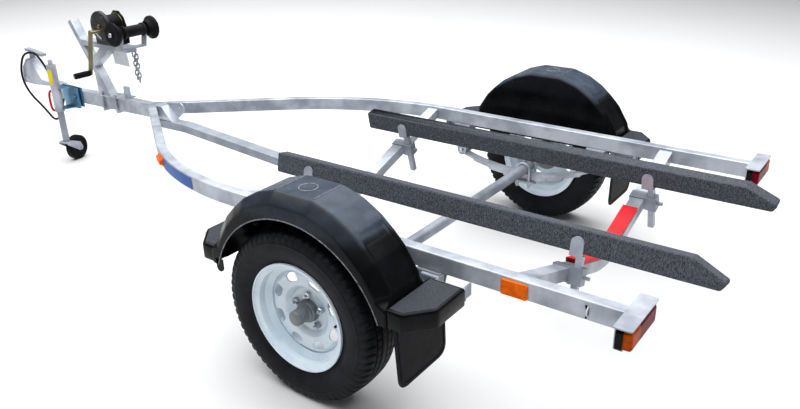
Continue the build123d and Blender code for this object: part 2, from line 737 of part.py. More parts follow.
with BuildPart() as bow_roller:  # centre tube and two flared bells on one spindle
    roller_plane = Plane(
        origin=(roller_x, 0, roller_z), x_dir=(0, 1, 0), z_dir=(1, 0, 0)
    )
    half_tube = ear_y - ear_t2 - 5
    with BuildSketch(roller_plane):
        with BuildLine():
            Polyline(
                (0, 0), (0, roller_r), (half_tube - 14, roller_r), (half_tube - 8, roller_r + 5),
                (half_tube, roller_r + 5), (half_tube, spindle_r), (ear_y + 5, spindle_r),
                (ear_y + 5, roller_r + 8), (ear_y + 20, roller_r + 16), (ear_y + 34, bell_r),
                (ear_y + 44, bell_r), (ear_y + 50, bell_r - 8), (ear_y + 50, 18),
                (ear_y + 54, 18), (ear_y + 54, 0), close=True,
            )
        make_face()
        mirror(about=Plane.YZ)
    revolve(axis=Axis((roller_x, 0, roller_z), (0, 1, 0)))

with BuildPart() as winch_frame:  # folded cheeks and base, bolted to the arm
    cheek_y, cheek_t = 46.0, 4.0
    for y in (cheek_y, -cheek_y + cheek_t):
        with BuildSketch(side(y)) as cheek:
            Polygon(
                (1962, arm_top), (2108, arm_top), (2108, 800), (2088, 872), (2056, 900),
                (2012, 900), (1980, 872), (1955, 800), align=None,
            )
            fillet(cheek.vertices().group_by(Axis.Y)[-1], radius=14)
            with Locations((drum_x, drum_z)):
                Circle(8 + running, mode=Mode.SUBTRACT)
        extrude(amount=cheek_t)
    with BuildSketch(flat(arm_top)):
        with Locations((2035, 0)):
            Rectangle(146, 2 * cheek_y)
    extrude(amount=cheek_t)

with BuildPart() as winch_cover:  # round gear cover on the left cheek
    with BuildSketch(Plane.XZ.offset(-cheek_y)):
        with Locations((drum_x, drum_z)):
            Circle(gear_r)
    extrude(amount=-20)
    fillet(winch_cover.edges().group_by(Axis.Y)[-1], radius=8)
    with BuildSketch(Plane.XZ.offset(-cheek_y)):
        with Locations((drum_x, drum_z)):
            Circle(12)
    extrude(amount=-10, mode=Mode.SUBTRACT)
    with BuildSketch(Plane.XZ.offset(-cheek_y - 8)):
        with Locations((crank_x, crank_z)):
            Circle(8 + running)
    extrude(amount=-20, mode=Mode.SUBTRACT)

with BuildPart() as winch_drum:
    drum_plane = Plane(origin=(drum_x, 0, drum_z), x_dir=(0, 1, 0), z_dir=(1, 0, 0))
    with BuildSketch(drum_plane):
        with BuildLine():
            Polyline(
                (-52, 0), (-52, 8), (-drum_half, 8), (-drum_half, 54), (-drum_half + 3, 54),
                (-drum_half + 3, drum_r), (drum_half - 3, drum_r), (drum_half - 3, 54),
                (drum_half, 54), (drum_half, 8), (52, 8), (52, 0), close=True,
            )
        make_face()
    revolve(axis=Axis((drum_x, 0, drum_z), (0, 1, 0)))

with BuildPart() as winch_crank:
    swing = radians(crank_lean)
    grip = (crank_x + crank_len * sin(swing), crank_z - crank_len * cos(swing))
    with BuildSketch(Plane.XZ.offset(-cheek_y - 12)):
        with Locations((crank_x, crank_z)):
            Circle(8)
    extrude(amount=-(crank_y - cheek_y - 12))
    arm_plane = Plane(
        origin=(crank_x, crank_y, crank_z), x_dir=(cos(swing), 0, sin(swing)),
        z_dir=(0, 1, 0),
    )
    with BuildSketch(arm_plane) as flat_bar:
        with Locations((0, crank_len / 2)):
            SlotOverall(crank_len + 26, 26, rotation=90)
    extrude(amount=7)
    with BuildSketch(Plane.XZ.offset(-crank_y)):
        with Locations(grip):
            Circle(6)
    extrude(amount=-96)

with BuildPart() as crank_grip:
    with BuildSketch(Plane.XZ.offset(-crank_y - 9)):
        with Locations(grip):
            Circle(15)
            Circle(6, mode=Mode.SUBTRACT)
    extrude(amount=-84)
    fillet(crank_grip.edges().filter_by(lambda e: e.length > 70), radius=4)

with BuildPart() as notice_card:  # blank card hung on the far side of the arm
    with BuildSketch(side(-arm_y)):
        Polygon((2104, 716), (1984, 714), (1972, 622), (2097, 626), align=None)
    extrude(amount=2)

# ------------------------------------------------------------------------- coupling
coupler_x, ball_r = 2893.0, 25.0
ball_z = deck(bar_front) + 6
mouth_z = ball_z - 24
with BuildPart() as coupling:
    root = 2590.0
    with BuildSketch(side(0)):
        Polygon(
            (root, deck(root)), (root, deck(root) + 10), (2700, 459), (2752, 467),
            (2832, 574), (2868, 572), (2922, 520), (2938, 476), (2938, mouth_z),
            (2820, mouth_z), (2700, 436), (bar_front, deck(bar_front)), align=None,
        )
    extrude(amount=30, both=True)
    fillet(coupling.edges().filter_by(Axis.Y, reverse=True).group_by(Axis.Z)[-1], radius=10)
    with Locations((coupler_x, 0, ball_z)):
        Sphere(ball_r + 14)
    with BuildSketch(flat(mouth_z)):
        with Locations((coupler_x, 0)):
            Rectangle(120, 120)
    extrude(amount=-60, mode=Mode.SUBTRACT)
    with Locations((coupler_x, 0, ball_z)):
        Sphere(ball_r + 1, mode=Mode.SUBTRACT)
    with BuildSketch(flat(mouth_z)):
        with Locations((coupler_x, 0)):
            Circle(ball_r + 1)
    extrude(amount=ball_z - mouth_z, mode=Mode.SUBTRACT)

with BuildPart() as coupling_lever:
    with BuildSketch(side(0)):
        Polygon((2725, 596), (2889, 612), (2889, 626), (2725, 610), align=None)
    extrude(amount=15, both=True)
    with BuildSketch(side(0)):
        Polygon((2832, 574), (2866, 572.2), (2858, 614), (2828, 611), align=None)
    extrude(amount=9, both=True)

# ---------------------------------------------------------------------- jockey wheel
pin_r = 9.0
mount_t, swing_t = 6.0, 6.0
mount_out = bar_w / 2 + mount_t  # outboard face of the fixed plate
swing_in = mount_out + 7  # inboard face of the swinging plate

with BuildPart() as jockey_mount:  # plate on the drawbar's side, with the pivot pin
    with BuildSketch(side(bar_w / 2)):
        Polygon(
            (2362, deck(2362) - 88), (2490, deck(2490) - 86), (2490, deck(2490) + 24),
            (2362, deck(2362) + 18), align=None,
        )
    extrude(amount=-mount_t)
    with BuildSketch(Plane.XZ.offset(-bar_w / 2)):
        with Locations((swing_x, swing_z)):
            Circle(pin_r)
    extrude(amount=-(swing_in + swing_t + 8 - bar_w / 2))
    with BuildSketch(Plane.XZ.offset(-swing_in - swing_t - 3)):
        with Locations((swing_x, swing_z)):
            RegularPolygon(15, 6)
    extrude(amount=-9)

tube_foot, tube_head = 335.0, 596.0
with BuildPart() as jockey_bracket:  # swinging plate and the webs that hold the tube
    with BuildSketch(Plane.XZ.offset(-swing_in)) as plate:
        Polygon((2378, 356), (2520, 346), (2520, 476), (2378, 468), align=None)
        with Locations((swing_x, swing_z)):
            Circle(pin_r + running, mode=Mode.SUBTRACT)
    extrude(amount=-swing_t)
    for z in (348.0, 464.0):
        with BuildSketch(flat(z)):
            Polygon(
                (2446, swing_in), (2520, swing_in), (2520, jockey_y), (2466, jockey_y),
                align=None,
            )
        extrude(amount=6)
    with BuildSketch(flat(tube_foot)):
        with Locations((jockey_x, jockey_y)):
            Circle(jockey_tube_r)
    extrude(amount=tube_head - tube_foot, mode=Mode.SUBTRACT)

with BuildPart() as jockey_tube:  # outer tube with its cap
    with BuildSketch(flat(tube_foot)):
        with Locations((jockey_x, jockey_y)):
            Circle(jockey_tube_r)
    extrude(amount=tube_head - tube_foot)
    with BuildSketch(flat(tube_foot)):
        with Locations((jockey_x, jockey_y)):
            Circle(jockey_leg_r + running)
    extrude(amount=tube_head - tube_foot - 8, mode=Mode.SUBTRACT)
    with BuildSketch(flat(tube_head)):
        with Locations((jockey_x, jockey_y)):
            Circle(12)
    extrude(amount=26)

with BuildPart() as jockey_pull:  # red ring that draws the lock pin
    ring_plane = Plane(
        origin=(jockey_x + jockey_tube_r + 9, jockey_y + 8, 392), x_dir=(0, 1, 0), z_dir=(1, 0, 0)
    )
    with BuildSketch(ring_plane):
        SlotOverall(124, 44, rotation=90)
        SlotOverall(104, 24, rotation=90, mode=Mode.SUBTRACT)
    extrude(amount=8)

trail_way = (cos(radians(castor)), sin(radians(castor)))
wheel_x = jockey_x + jockey_trail * trail_way[0]
wheel_y = jockey_y + jockey_trail * trail_way[1]
nose = radians(nose_down)
# the height at which the wheel meets the ground once the trailer is set nose-low
wheel_z = axle_z + (jockey_r - axle_z + wheel_x * sin(nose)) / cos(nose)
saddle_z = wheel_z + 49


def beside(out=0.0):
    """Upright plane through the castor's axis along its trail, moved sideways by out."""
    turn_x, turn_y = trail_way
    return Plane(
        origin=(jockey_x + turn_y * out, jockey_y - turn_x * out, 0),
        x_dir=(turn_x, turn_y, 0), z_dir=(turn_y, -turn_x, 0),
    )


with BuildPart() as jockey_leg:
    with BuildSketch(flat(saddle_z + 9)):
        with Locations((jockey_x, jockey_y)):
            Circle(jockey_leg_r)
    extrude(amount=tube_head - 125 - saddle_z)  # room to wind up inside the tube

with BuildPart() as jockey_fork:  # saddle under the leg, two cheeks to the wheel's axle
    cheek_in, fork_t = jockey_w / 2 + 5, 4.0
    with BuildSketch(beside(cheek_in + fork_t)):
        Polygon(
            (-26, saddle_z), (12, saddle_z), (12, saddle_z + 8), (-26, saddle_z + 8),
            align=None,
        )
    extrude(amount=-2 * (cheek_in + fork_t))
    for out in (cheek_in + fork_t, -cheek_in):
        with BuildSketch(beside(out)):
            with Locations((jockey_trail, wheel_z)):
                Circle(16)
            Polygon(
                (-26, saddle_z + 8), (-26, saddle_z - 6), (jockey_trail - 12, wheel_z - 14),
                (jockey_trail + 15, wheel_z + 6), (jockey_trail + 2, wheel_z + 34),
                (14, saddle_z + 8), align=None,
            )
        extrude(amount=-fork_t)
    with BuildSketch(beside(cheek_in + fork_t + 8)):
        with Locations((jockey_trail, wheel_z)):
            Circle(6)
    extrude(amount=-2 * (cheek_in + fork_t + 8))

with BuildPart() as jockey_wheel:
    axle_way = beside().z_dir
    with BuildSketch(
        Plane(origin=(wheel_x, wheel_y, wheel_z), x_dir=axle_way, z_dir=beside().x_dir * -1)
    ):
        half = jockey_w / 2
        with BuildLine():
            Polyline(
                (-half, 6 + running), (-half, 20), (-half + 6, 26), (-half + 6, 48), (-half, 52),
                (-half, jockey_r - 9), (-half + 7, jockey_r), (half - 7, jockey_r),
                (half, jockey_r - 9), (half, 52), (half - 6, 48), (half - 6, 26),
                (half, 20), (half, 6 + running), close=True,
            )
        make_face()
    revolve(axis=Axis((wheel_x, wheel_y, wheel_z), axle_way))

# ------------------------------------------------------------------ cable and chains
cable_r = 6.0
cable_path = (
    (2600, 40, 470), (2690, 44, 612), (2792, 40, 622), (2886, 40, 590), (2946, 40, 468),
    (2900, 40, 372), (2757, 40, 296), (2672, 36, 226), (2612, 20, 300), (2596, 6, 372),
)
cable_radii = []
for a, b, c in zip(cable_path, cable_path[1:], cable_path[2:]):
    ab, bc = Vector(*b) - Vector(*a), Vector(*c) - Vector(*b)
    half_turn = radians(ab.get_angle(bc)) / 2
    cable_radii.append(round(0.45 * min(ab.length, bc.length) / tan(half_turn), 1))
print("cable bend radii", cable_radii)
with BuildPart() as cable:
    with BuildLine() as run:
        FilletPolyline(*cable_path, radius=cable_radii)
    with BuildSketch(Plane(origin=run.line @ 0, z_dir=run.line % 0)):
        Circle(cable_r)
    sweep(path=run.line)

link_l, link_w, link_t = 34.0, 22.0, 6.0  # bow chain, hanging in two bights
with BuildPart() as bow_chain:
    for column, (x, y, top_z, count) in enumerate(((1936, -52, 716, 7), (1964, -60, 700, 6))):
        for k in range(count):
            turned = (k + column) % 2
            middle = (x, y, top_z - link_l / 2 - k * (link_l - 2 * link_t + 2))
            face = Plane(
                origin=middle, x_dir=(0, 0, 1),
                z_dir=(cos(radians(45 + 90 * turned)), sin(radians(45 + 90 * turned)), 0),
            )
            with BuildSketch(face.offset(-link_t / 2)):
                SlotOverall(link_l, link_w)
                SlotOverall(link_l - 2 * link_t, link_w - 2 * link_t, mode=Mode.SUBTRACT)
            extrude(amount=link_t)

# -------------------------------------------------------------- the pieces, set down
pieces = {
    "rail_left": rail_left,
    "rail_right": rail_right,
    "drawbar": drawbar,
    "centre_beam": centre_beam,
    "cross_member_front": crossings["front"],
    "cross_member_rear": crossings["rear"],
    "keel_pad": keel_pad,
    "axle": axle,
    "leaf_springs": leaf_springs,
    "spring_hangers": spring_hangers,
    "spring_bushes": spring_bushes,
    "axle_clamps": axle_clamps,
    "tyre_left": tyre_left,
    "rim_left": rim_left,
    "hub_left": hub_left,
    "tyre_right": right_hand["tyre"],
    "rim_right": right_hand["rim"],
    "hub_right": right_hand["hub"],
    "mudguard_left": mudguard_left,
    "mudguard_right": mudguard_right,
    "mudflaps": mudflaps,
    "guard_brackets": guard_brackets,
    "lamp_brackets": lamp_brackets,
    "lamp_bases": lamp_bases,
    "lamp_lenses_red": lenses["red"],
    "lamp_lenses_amber": lenses["amber"],
    "side_reflectors": side_reflectors,
    "front_markers": front_markers,
    "bunk_left": boards["left"],
    "bunk_right": boards["right"],
    "bunk_stems": bunk_stems,
    "stem_clamps": stem_clamps,
    "winch_post": winch_post,
    "post_base": post_base,
    "winch_platform": winch_platform,
    "bow_roller": bow_roller,
    "winch_frame": winch_frame,
    "winch_cover": winch_cover,
    "winch_drum": winch_drum,
    "winch_crank": winch_crank,
    "crank_grip": crank_grip,
    "notice_card": notice_card,
    "coupling": coupling,
    "coupling_lever": coupling_lever,
    "jockey_mount": jockey_mount,
    "jockey_bracket": jockey_bracket,
    "jockey_tube": jockey_tube,
    "jockey_pull": jockey_pull,
    "jockey_leg": jockey_leg,
    "jockey_fork": jockey_fork,
    "jockey_wheel": jockey_wheel,
    "cable": cable,
    "bow_chain": bow_chain,
}
parked = Location((-middle_x, 0, axle_z)) * Location((0, 0, 0), (0, nose_down, 0))
parked = parked * Location((0, 0, -axle_z))
for name, piece in pieces.items():
    piece.part = parked * piece.part
    piece.part.label = name
    export_step(piece.part, f"parts/{name}.step")
print(len(pieces), "pieces written")
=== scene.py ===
# %% [markdown]
# # A small boat trailer
# This lesson dresses the trailer's solid model: a bent tube frame, two carpeted bunks, a
# sprung axle with two road wheels, a hand winch, a ball coupling and a jockey wheel.
# Some keep their shape and get a finish, and others give way to a finer surface worked
# out here with numpy.
# %% Open the frame
import json
import math

import bmesh
import bpy
import numpy as np
from mathutils import Matrix


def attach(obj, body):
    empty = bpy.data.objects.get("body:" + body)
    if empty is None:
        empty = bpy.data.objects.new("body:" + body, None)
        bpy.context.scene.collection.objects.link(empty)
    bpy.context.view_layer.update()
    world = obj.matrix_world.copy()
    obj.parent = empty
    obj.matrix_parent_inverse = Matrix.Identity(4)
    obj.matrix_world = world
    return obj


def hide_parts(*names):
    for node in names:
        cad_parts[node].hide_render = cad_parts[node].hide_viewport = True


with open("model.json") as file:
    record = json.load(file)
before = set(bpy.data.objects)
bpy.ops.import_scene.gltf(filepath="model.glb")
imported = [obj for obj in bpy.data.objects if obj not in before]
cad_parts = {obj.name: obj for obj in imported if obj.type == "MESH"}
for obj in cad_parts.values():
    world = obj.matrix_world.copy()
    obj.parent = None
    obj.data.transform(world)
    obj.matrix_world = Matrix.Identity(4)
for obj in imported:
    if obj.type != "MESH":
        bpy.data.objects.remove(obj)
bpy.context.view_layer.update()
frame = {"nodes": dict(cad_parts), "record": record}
solids = frame["nodes"]
slot_of = {p["node"]: p["material_slot"] for p in frame["record"]["subparts"]}

# %% [markdown]
# ## Camera
# The trailer is seen from behind its left wheel, from a little over head height, with a
# fairly wide lens, so the camera is given a place and its three axes. A matrix keeps the
# slight roll exactly, which is hard to do with a target to look at.
# %% Camera
def add_object(name, data):
    """A new object of the scene, at the origin and unturned."""
    thing = bpy.data.objects.new(name, data)
    bpy.context.scene.collection.objects.link(thing)
    return thing


camera_data = bpy.data.cameras.new("camera")
camera_data.sensor_width = 36.0
camera_data.lens = 34.522
camera = add_object("camera", camera_data)
camera.matrix_world = Matrix((  # the columns are right, up, back and place
    (-0.810161043, 0.234485188, -0.537266955, -2.352156368),
    (-0.586115297, -0.340260264, 0.73531749, 2.291813483),
    (-0.010389536, 0.910625966, 0.413100966, 1.561125249),
    (0.0, 0.0, 0.0, 1.0),
))
bpy.context.scene.camera = camera
print("camera at", [round(v, 3) for v in camera.location])

# %% [markdown]
# ## Drawing the trailer level
# A trailer is easier to draw level, in millimetres from its axle line, than parked with
# its nose low. One function sets such points down where the solids stand: it turns them
# about the axle by the parked angle and moves the origin to the trailer's middle.
# %% From the level drawing to the parked trailer
NOSE_DOWN = math.radians(0.86)
AXLE_Z, MIDDLE_X = 289.0, 928.0  # the axle's height, and the middle's distance ahead of it


def parked(points):
    """x' = x cos a + z sin a and z' = z cos a - x sin a about the axle line, then in metres."""
    p = np.asarray(points, float)
    x, y, z = p[..., 0], p[..., 1], p[..., 2] - AXLE_Z
    c, s = math.cos(NOSE_DOWN), math.sin(NOSE_DOWN)
    return np.stack([x * c + z * s - MIDDLE_X, y, z * c - x * s + AXLE_Z], -1) / 1000


print("the axle's middle stands at", parked((0, 0, AXLE_Z)).tolist())

# %% [markdown]
# ## Floor and light
# A plain pale floor and soft light from above flatter bright zinc: the tubes' top faces
# catch the sky, and their sides show the darker room. The floor is one square face. Its
# helper joins any grid of points into four-cornered faces, and all later surfaces use it.
# %% Floor
FLOOR_HALF = 9.0


def grid_faces(rows, columns, wrap_rows=False, wrap_columns=False):
    """Four corners for each cell of a grid of rows x columns points, as one array."""
    r = np.arange(rows if wrap_rows else rows - 1)[:, None]
    c = np.arange(columns if wrap_columns else columns - 1)[None, :]
    r2, c2 = (r + 1) % rows, (c + 1) % columns
    corners = (r * columns + c, r * columns + c2, r2 * columns + c2, r2 * columns + c)
    return np.stack([np.broadcast_to(k, (r.size, c.size)) for k in corners], -1).reshape(-1, 4)


span = (-FLOOR_HALF, FLOOR_HALF)
floor_points = np.stack(np.meshgrid(span, span, [0.0], indexing="ij"), -1).reshape(-1, 3)
floor_mesh = bpy.data.meshes.new("floor")
floor_mesh.from_pydata(floor_points.tolist(), [], grid_faces(2, 2)[:, ::-1].tolist())
floor = add_object("floor", floor_mesh)
print("floor", 2 * FLOOR_HALF, "m square")

# %% [markdown]
# One very large lamp overhead stands for a bright ceiling and gives the long soft
# highlights. A weak one, high behind the left wheel, adds a little to it, and the world
# fills the shadows. A lamp gets its axes from the line between its place and its aim.
# %% Lamps and world
def area_lamp(name, place, aim, size, watts):
    """A rectangle of light whose back points from the aim to its place."""
    lamp = bpy.data.lights.new(name, "AREA")
    lamp.shape, lamp.size, lamp.size_y, lamp.energy = "RECTANGLE", *size, watts
    back = np.array(place, float) - np.array(aim, float)
    back /= np.linalg.norm(back)
    overhead = abs(back[2]) > 0.99
    right = np.array((1.0, 0.0, 0.0)) if overhead else np.cross((0.0, 0.0, 1.0), back)
    right /= np.linalg.norm(right)
    axes = np.eye(4)
    axes[:3] = np.stack([right, np.cross(back, right), back, place], -1)
    add_object(name, lamp).matrix_world = Matrix(axes.tolist())


area_lamp("sky", (0.6, -0.6, 5.5), (0.6, -0.6, 0.0), (11.0, 9.0), 1370)
area_lamp("key", (-2.6, 3.6, 3.4), (0.0, 0.2, 0.3), (2.6, 1.8), 8)
world = bpy.data.worlds.new("room")
bpy.context.scene.world = world
world.use_nodes = True
room = world.node_tree.nodes["Background"]
room.inputs["Color"].default_value = (0.93, 0.96, 1.0, 1.0)
room.inputs["Strength"].default_value = 0.17
bpy.context.scene.view_settings.view_transform = "Standard"
print("two lamps and a pale room")

# %% [markdown]
# ## Finishes
# Every finish is a small node graph on Object coordinates, in metres, so a grain has its
# true size and stays put on its piece. A graph starts with its shader's own numbers. The
# colour given here is the plain tone for a program that doesn't read the nodes.
# %% A finish's graph
class Graph:
    """A material with its shader and its place in space, to which nodes are added."""

    def __init__(self, name, colour, roughness, metallic=0.0, **sockets):
        self.material = bpy.data.materials.new(name)
        self.material.use_nodes = True
        self.tree = self.material.node_tree
        self.shader = self.tree.nodes["Principled BSDF"]
        self.shader.inputs["Base Color"].default_value = (*colour, 1.0)
        self.shader.inputs["Roughness"].default_value = roughness
        self.shader.inputs["Metallic"].default_value = metallic
        for socket, value in sockets.items():
            self.shader.inputs[socket.replace("_", " ")].default_value = value
        self.where = self.add("ShaderNodeTexCoord").outputs["Object"]
        self.height = None

    def add(self, kind, **settings):
        node = self.tree.nodes.new(kind)
        for key, value in settings.items():
            setattr(node, key, value)
        return node

    def link(self, out, into):
        self.tree.links.new(out, into)


finishes = {}
print("graph helper ready")

# %% [markdown]
# Two patterns do nearly all the work. A noise is for what varies without edges, such as
# clouds, dust and grain, and Voronoi cells are for what has edges, such as crystals.
# %% Patterns
class Pattern(Graph):
    """A graph that can make greys which vary over the surface."""

    def noise(self, scale, detail=3.0, stretch=(1, 1, 1)):
        """A cloudy grey with about scale clouds to the metre."""
        grain = self.add("ShaderNodeTexNoise")
        mapping = self.add("ShaderNodeMapping")
        mapping.inputs["Scale"].default_value = stretch
        self.link(self.where, mapping.inputs["Vector"])
        self.link(mapping.outputs["Vector"], grain.inputs["Vector"])
        grain.inputs["Scale"].default_value = scale
        grain.inputs["Detail"].default_value = detail
        return grain.outputs["Fac"]

    def cells(self, scale, randomness=1.0):
        """Cells, each with a random colour and the distance from its middle."""
        voronoi = self.add("ShaderNodeTexVoronoi")
        voronoi.inputs["Scale"].default_value = scale
        voronoi.inputs["Randomness"].default_value = randomness
        self.link(self.where, voronoi.inputs["Vector"])
        return voronoi.outputs


print("noise and cells ready")

# %% [markdown]
# A pattern is a grey until a ramp turns it into two tones. Blends and masks lay one tone
# over another, and at the end a pattern goes into the shader as colour, as roughness or
# as a bump. Each new bump stands on the earlier ones, so coarse and fine relief add up.
# %% Tones, roughness and bumps
class Finish(Pattern):
    """A graph that can turn greys into tones, roughness and relief."""

    def ramp(self, value, low, high, at=(0.3, 0.7)):
        """Two tones laid over a grey between two stops."""
        tones = self.add("ShaderNodeValToRGB")
        tones.color_ramp.elements[0].position, tones.color_ramp.elements[1].position = at
        tones.color_ramp.elements[0].color = (*low, 1.0)
        tones.color_ramp.elements[1].color = (*high, 1.0)
        self.link(value, tones.inputs["Fac"])
        return tones.outputs["Color"]

    def mask(self, value, low, high, at):
        """A grey that goes from low to high while the value goes between two stops."""
        return self.ramp(value, (low,) * 3, (high,) * 3, at)

    def mix(self, amount, one, two, kind="MIX"):
        blend = self.add("ShaderNodeMix", data_type="RGBA", blend_type=kind)
        if isinstance(amount, float):
            blend.inputs["Factor"].default_value = amount
        else:
            self.link(amount, blend.inputs["Factor"])
        self.link(one, blend.inputs["A"])
        self.link(two, blend.inputs["B"])
        return blend.outputs["Result"]

    def times(self, one, two):
        return self.mix(1.0, one, two, "MULTIPLY")

    def colour(self, out):
        self.link(out, self.shader.inputs["Base Color"])

    def rough(self, value, low, high):
        spread = self.add("ShaderNodeMapRange")
        spread.inputs["To Min"].default_value = low
        spread.inputs["To Max"].default_value = high
        self.link(value, spread.inputs["Value"])
        self.link(spread.outputs["Result"], self.shader.inputs["Roughness"])

    def bump(self, value, depth, strength):
        """Raise the surface by value, depth in metres, on top of earlier bumps."""
        relief = self.add("ShaderNodeBump")
        relief.inputs["Strength"].default_value = strength
        relief.inputs["Distance"].default_value = depth
        self.link(value, relief.inputs["Height"])
        if self.height:
            self.link(self.height, relief.inputs["Normal"])
        self.height = relief.outputs["Normal"]
        self.link(self.height, self.shader.inputs["Normal"])


print("finish helpers ready")

# %% [markdown]
# ### Hot-dip zinc
# The frame is dipped in molten zinc. It leaves pale flakes a centimetre or two across,
# cloudy patches where it cooled slowly, and a slightly lumpy skin. Cells give the flakes,
# and two noises give the clouds and the skin. The dull parts are the same with less shine,
# and a thin plated skin that a chromate bath has turned blue or gold is made the same way.
# %% Zinc finishes
def zinc(name, pale, dark, metal, low, high, flake=70.0):
    """Clouds between dark and pale, a third of it flakes, roughness from low to high."""
    f = Finish(name, pale, (low + high) / 2, metal)
    split = f.add("ShaderNodeSeparateColor")
    f.link(f.cells(flake)["Color"], split.inputs["Color"])
    clouds = f.ramp(f.noise(9.0, 5.0), dark, pale, (0.38, 0.62))
    darker, paler = [v * 0.93 for v in pale], [v * 1.05 for v in pale]
    flakes = f.ramp(split.outputs["Red"], darker, paler)
    f.colour(f.mix(0.35, clouds, flakes))
    f.rough(f.noise(38.0), low, high)
    f.bump(f.noise(60.0, 4.0), 0.0007, 0.35)
    finishes[name] = f.material


zinc("galvanised", (0.44, 0.475, 0.53), (0.145, 0.165, 0.205), 0.28, 0.26, 0.46)
# this darker tone, on the centre beam, is painted shade
zinc("galvanised_dull", (0.28, 0.31, 0.355), (0.15, 0.17, 0.205), 0.35, 0.36, 0.56, 90.0)
zinc("zinc_blue", (0.145, 0.32, 0.47), (0.07, 0.18, 0.30), 0.85, 0.22, 0.40, 160.0)
zinc("zinc_gold", (0.185, 0.175, 0.085), (0.095, 0.09, 0.04), 0.85, 0.24, 0.42, 160.0)
zinc("cast_hub", (0.20, 0.225, 0.235), (0.11, 0.125, 0.135), 0.50, 0.40, 0.60, 220.0)
zinc("bright_zinc", (0.52, 0.54, 0.58), (0.34, 0.37, 0.41), 0.90, 0.20, 0.36, 200.0)
print("zinc in six tones")

# %% [markdown]
# ### Paint, rubber and other plain finishes
# The rims have gloss white enamel, the winch black paint, and the step plates a coarse
# grip. Each is two near tones laid over one noise, since no worn surface is one flat
# colour, and most have a skin: orange peel on paint, a fine grain on rubber and vinyl. One
# function makes them all. Tyres are duller than plastic, with a bloom that varies.
# %% Paint, rubber and plain plastic finishes
def two_tone(name, colour, roughness, grain, low, high, at=(0.3, 0.7), skin=None, **sockets):
    """Tones low to high over noise(grain), and a skin of (scale, detail, depth, strength)."""
    f = Finish(name, colour, roughness, **sockets)
    f.colour(f.ramp(f.noise(*grain), low, high, at))
    if skin:
        f.bump(f.noise(*skin[:2]), *skin[2:])
    finishes[name] = f.material
    return f


two_tone("white_paint", (0.80, 0.84, 0.89), 0.28, (14.0, 4.0), (0.585, 0.695, 0.785),
         (0.70, 0.79, 0.855), (0.3, 0.62), (240.0, 2.0, 0.0002, 0.25), Coat_Weight=0.4)
two_tone("grip", (0.030, 0.032, 0.036), 0.7, (520.0, 3.0), (0.004, 0.005, 0.007),
         (0.046, 0.054, 0.072), (0.40, 0.70), (600.0, 3.0, 0.0012, 0.8), Specular_IOR_Level=0.3)
# pale wear on the guards' lip, ring and creases, with painted highlights along them
two_tone("pale_wear_and_highlight", (0.10, 0.105, 0.115), 0.5, (90.0, 4.0), (0.050, 0.055, 0.064),
         (0.200, 0.215, 0.240))
two_tone("black_steel", (0.012, 0.012, 0.014), 0.4, (26.0, 4.0), (0.005, 0.005, 0.006),
         (0.020, 0.020, 0.022), skin=(400.0, 2.0, 0.0002, 0.3), Specular_IOR_Level=0.25)
two_tone("black_rubber", (0.010, 0.010, 0.012), 0.5, (30.0, 4.0), (0.003, 0.003, 0.0035),
         (0.009, 0.009, 0.011), skin=(500.0, 3.0, 0.0004, 0.4), Specular_IOR_Level=0.06)
tyre_rubber = two_tone(
    "tyre", (0.010, 0.011, 0.014), 0.5, (18.0, 5.0), (0.0028, 0.0032, 0.0045),
    (0.009, 0.010, 0.0135), skin=(700.0, 3.0, 0.0004, 0.35), Specular_IOR_Level=0.13)
tyre_rubber.rough(tyre_rubber.noise(40.0), 0.44, 0.66)
two_tone("red_plastic", (0.55, 0.006, 0.012), 0.38, (20.0, 4.0), (0.36, 0.004, 0.008),
         (0.54, 0.009, 0.016), skin=(300.0, 2.0, 0.0003, 0.3), Specular_IOR_Level=0.12)
two_tone("card", (0.80, 0.82, 0.86), 0.5, (40.0, 3.0), (0.64, 0.69, 0.75), (0.74, 0.78, 0.82))
two_tone("blue_vinyl", (0.010, 0.085, 0.38), 0.4, (8.0, 2.0), (0.006, 0.060, 0.27),
         (0.012, 0.095, 0.38), skin=(60.0, 2.0, 0.0003, 0.2), Specular_IOR_Level=0.12)
two_tone("yellow_vinyl", (0.85, 0.66, 0.012), 0.45, (30.0, 3.0), (0.62, 0.47, 0.010),
         (0.78, 0.62, 0.016), Specular_IOR_Level=0.3)
two_tone("floor_paint", (0.60, 0.60, 0.61), 0.75, (1.2, 2.0), (0.597, 0.599, 0.605),
         (0.61, 0.61, 0.615))
floor_mesh.materials.append(finishes["floor_paint"])
print(len(finishes), "finishes so far")

# %% [markdown]
# ### Mudguard plastic
# The guards are vacuum-formed black sheet with a fine grain. Above 596 mm the tone goes from
# glossy black to a grey that is partly dust and partly a painted sky reflection on what faces
# up. Two more masks by width keep it there: the full grey on the flat top, under half of it
# on the outer chamfer, and almost none on the inner wall. All three read Object coordinates.
# %% Mudguard plastic finish
f = Finish("black_plastic", (0.010, 0.011, 0.013), 0.36, Specular_IOR_Level=0.09)
place = f.add("ShaderNodeSeparateXYZ")
f.link(f.where, place.inputs["Vector"])
width = f.add("ShaderNodeMath", operation="ABSOLUTE")
f.link(place.outputs["Y"], width.inputs[0])
glossy = f.ramp(f.noise(11.0, 5.0), (0.0010, 0.0011, 0.0014), (0.0045, 0.005, 0.006))
# dust, and a painted reflection of the sky on what faces up
dust_and_sky_sheen = f.ramp(f.noise(16.0, 5.0), (0.026, 0.034, 0.048), (0.054, 0.070, 0.096))
high_up = f.mask(place.outputs["Z"], 0, 1, (0.596, 0.622))
chamfer = f.mask(width.outputs["Value"], 1, 0.42, (0.864, 0.872))
inner_wall = f.mask(width.outputs["Value"], 0.05, 1, (0.716, 0.724))
f.colour(f.mix(f.times(high_up, f.times(chamfer, inner_wall)), glossy, dust_and_sky_sheen))
f.rough(f.noise(24.0, 4.0), 0.16, 0.34)
f.bump(f.noise(1400.0, 2.0), 0.0003, 0.2)
finishes["black_plastic"] = f.material
print("black plastic, dusty on top")

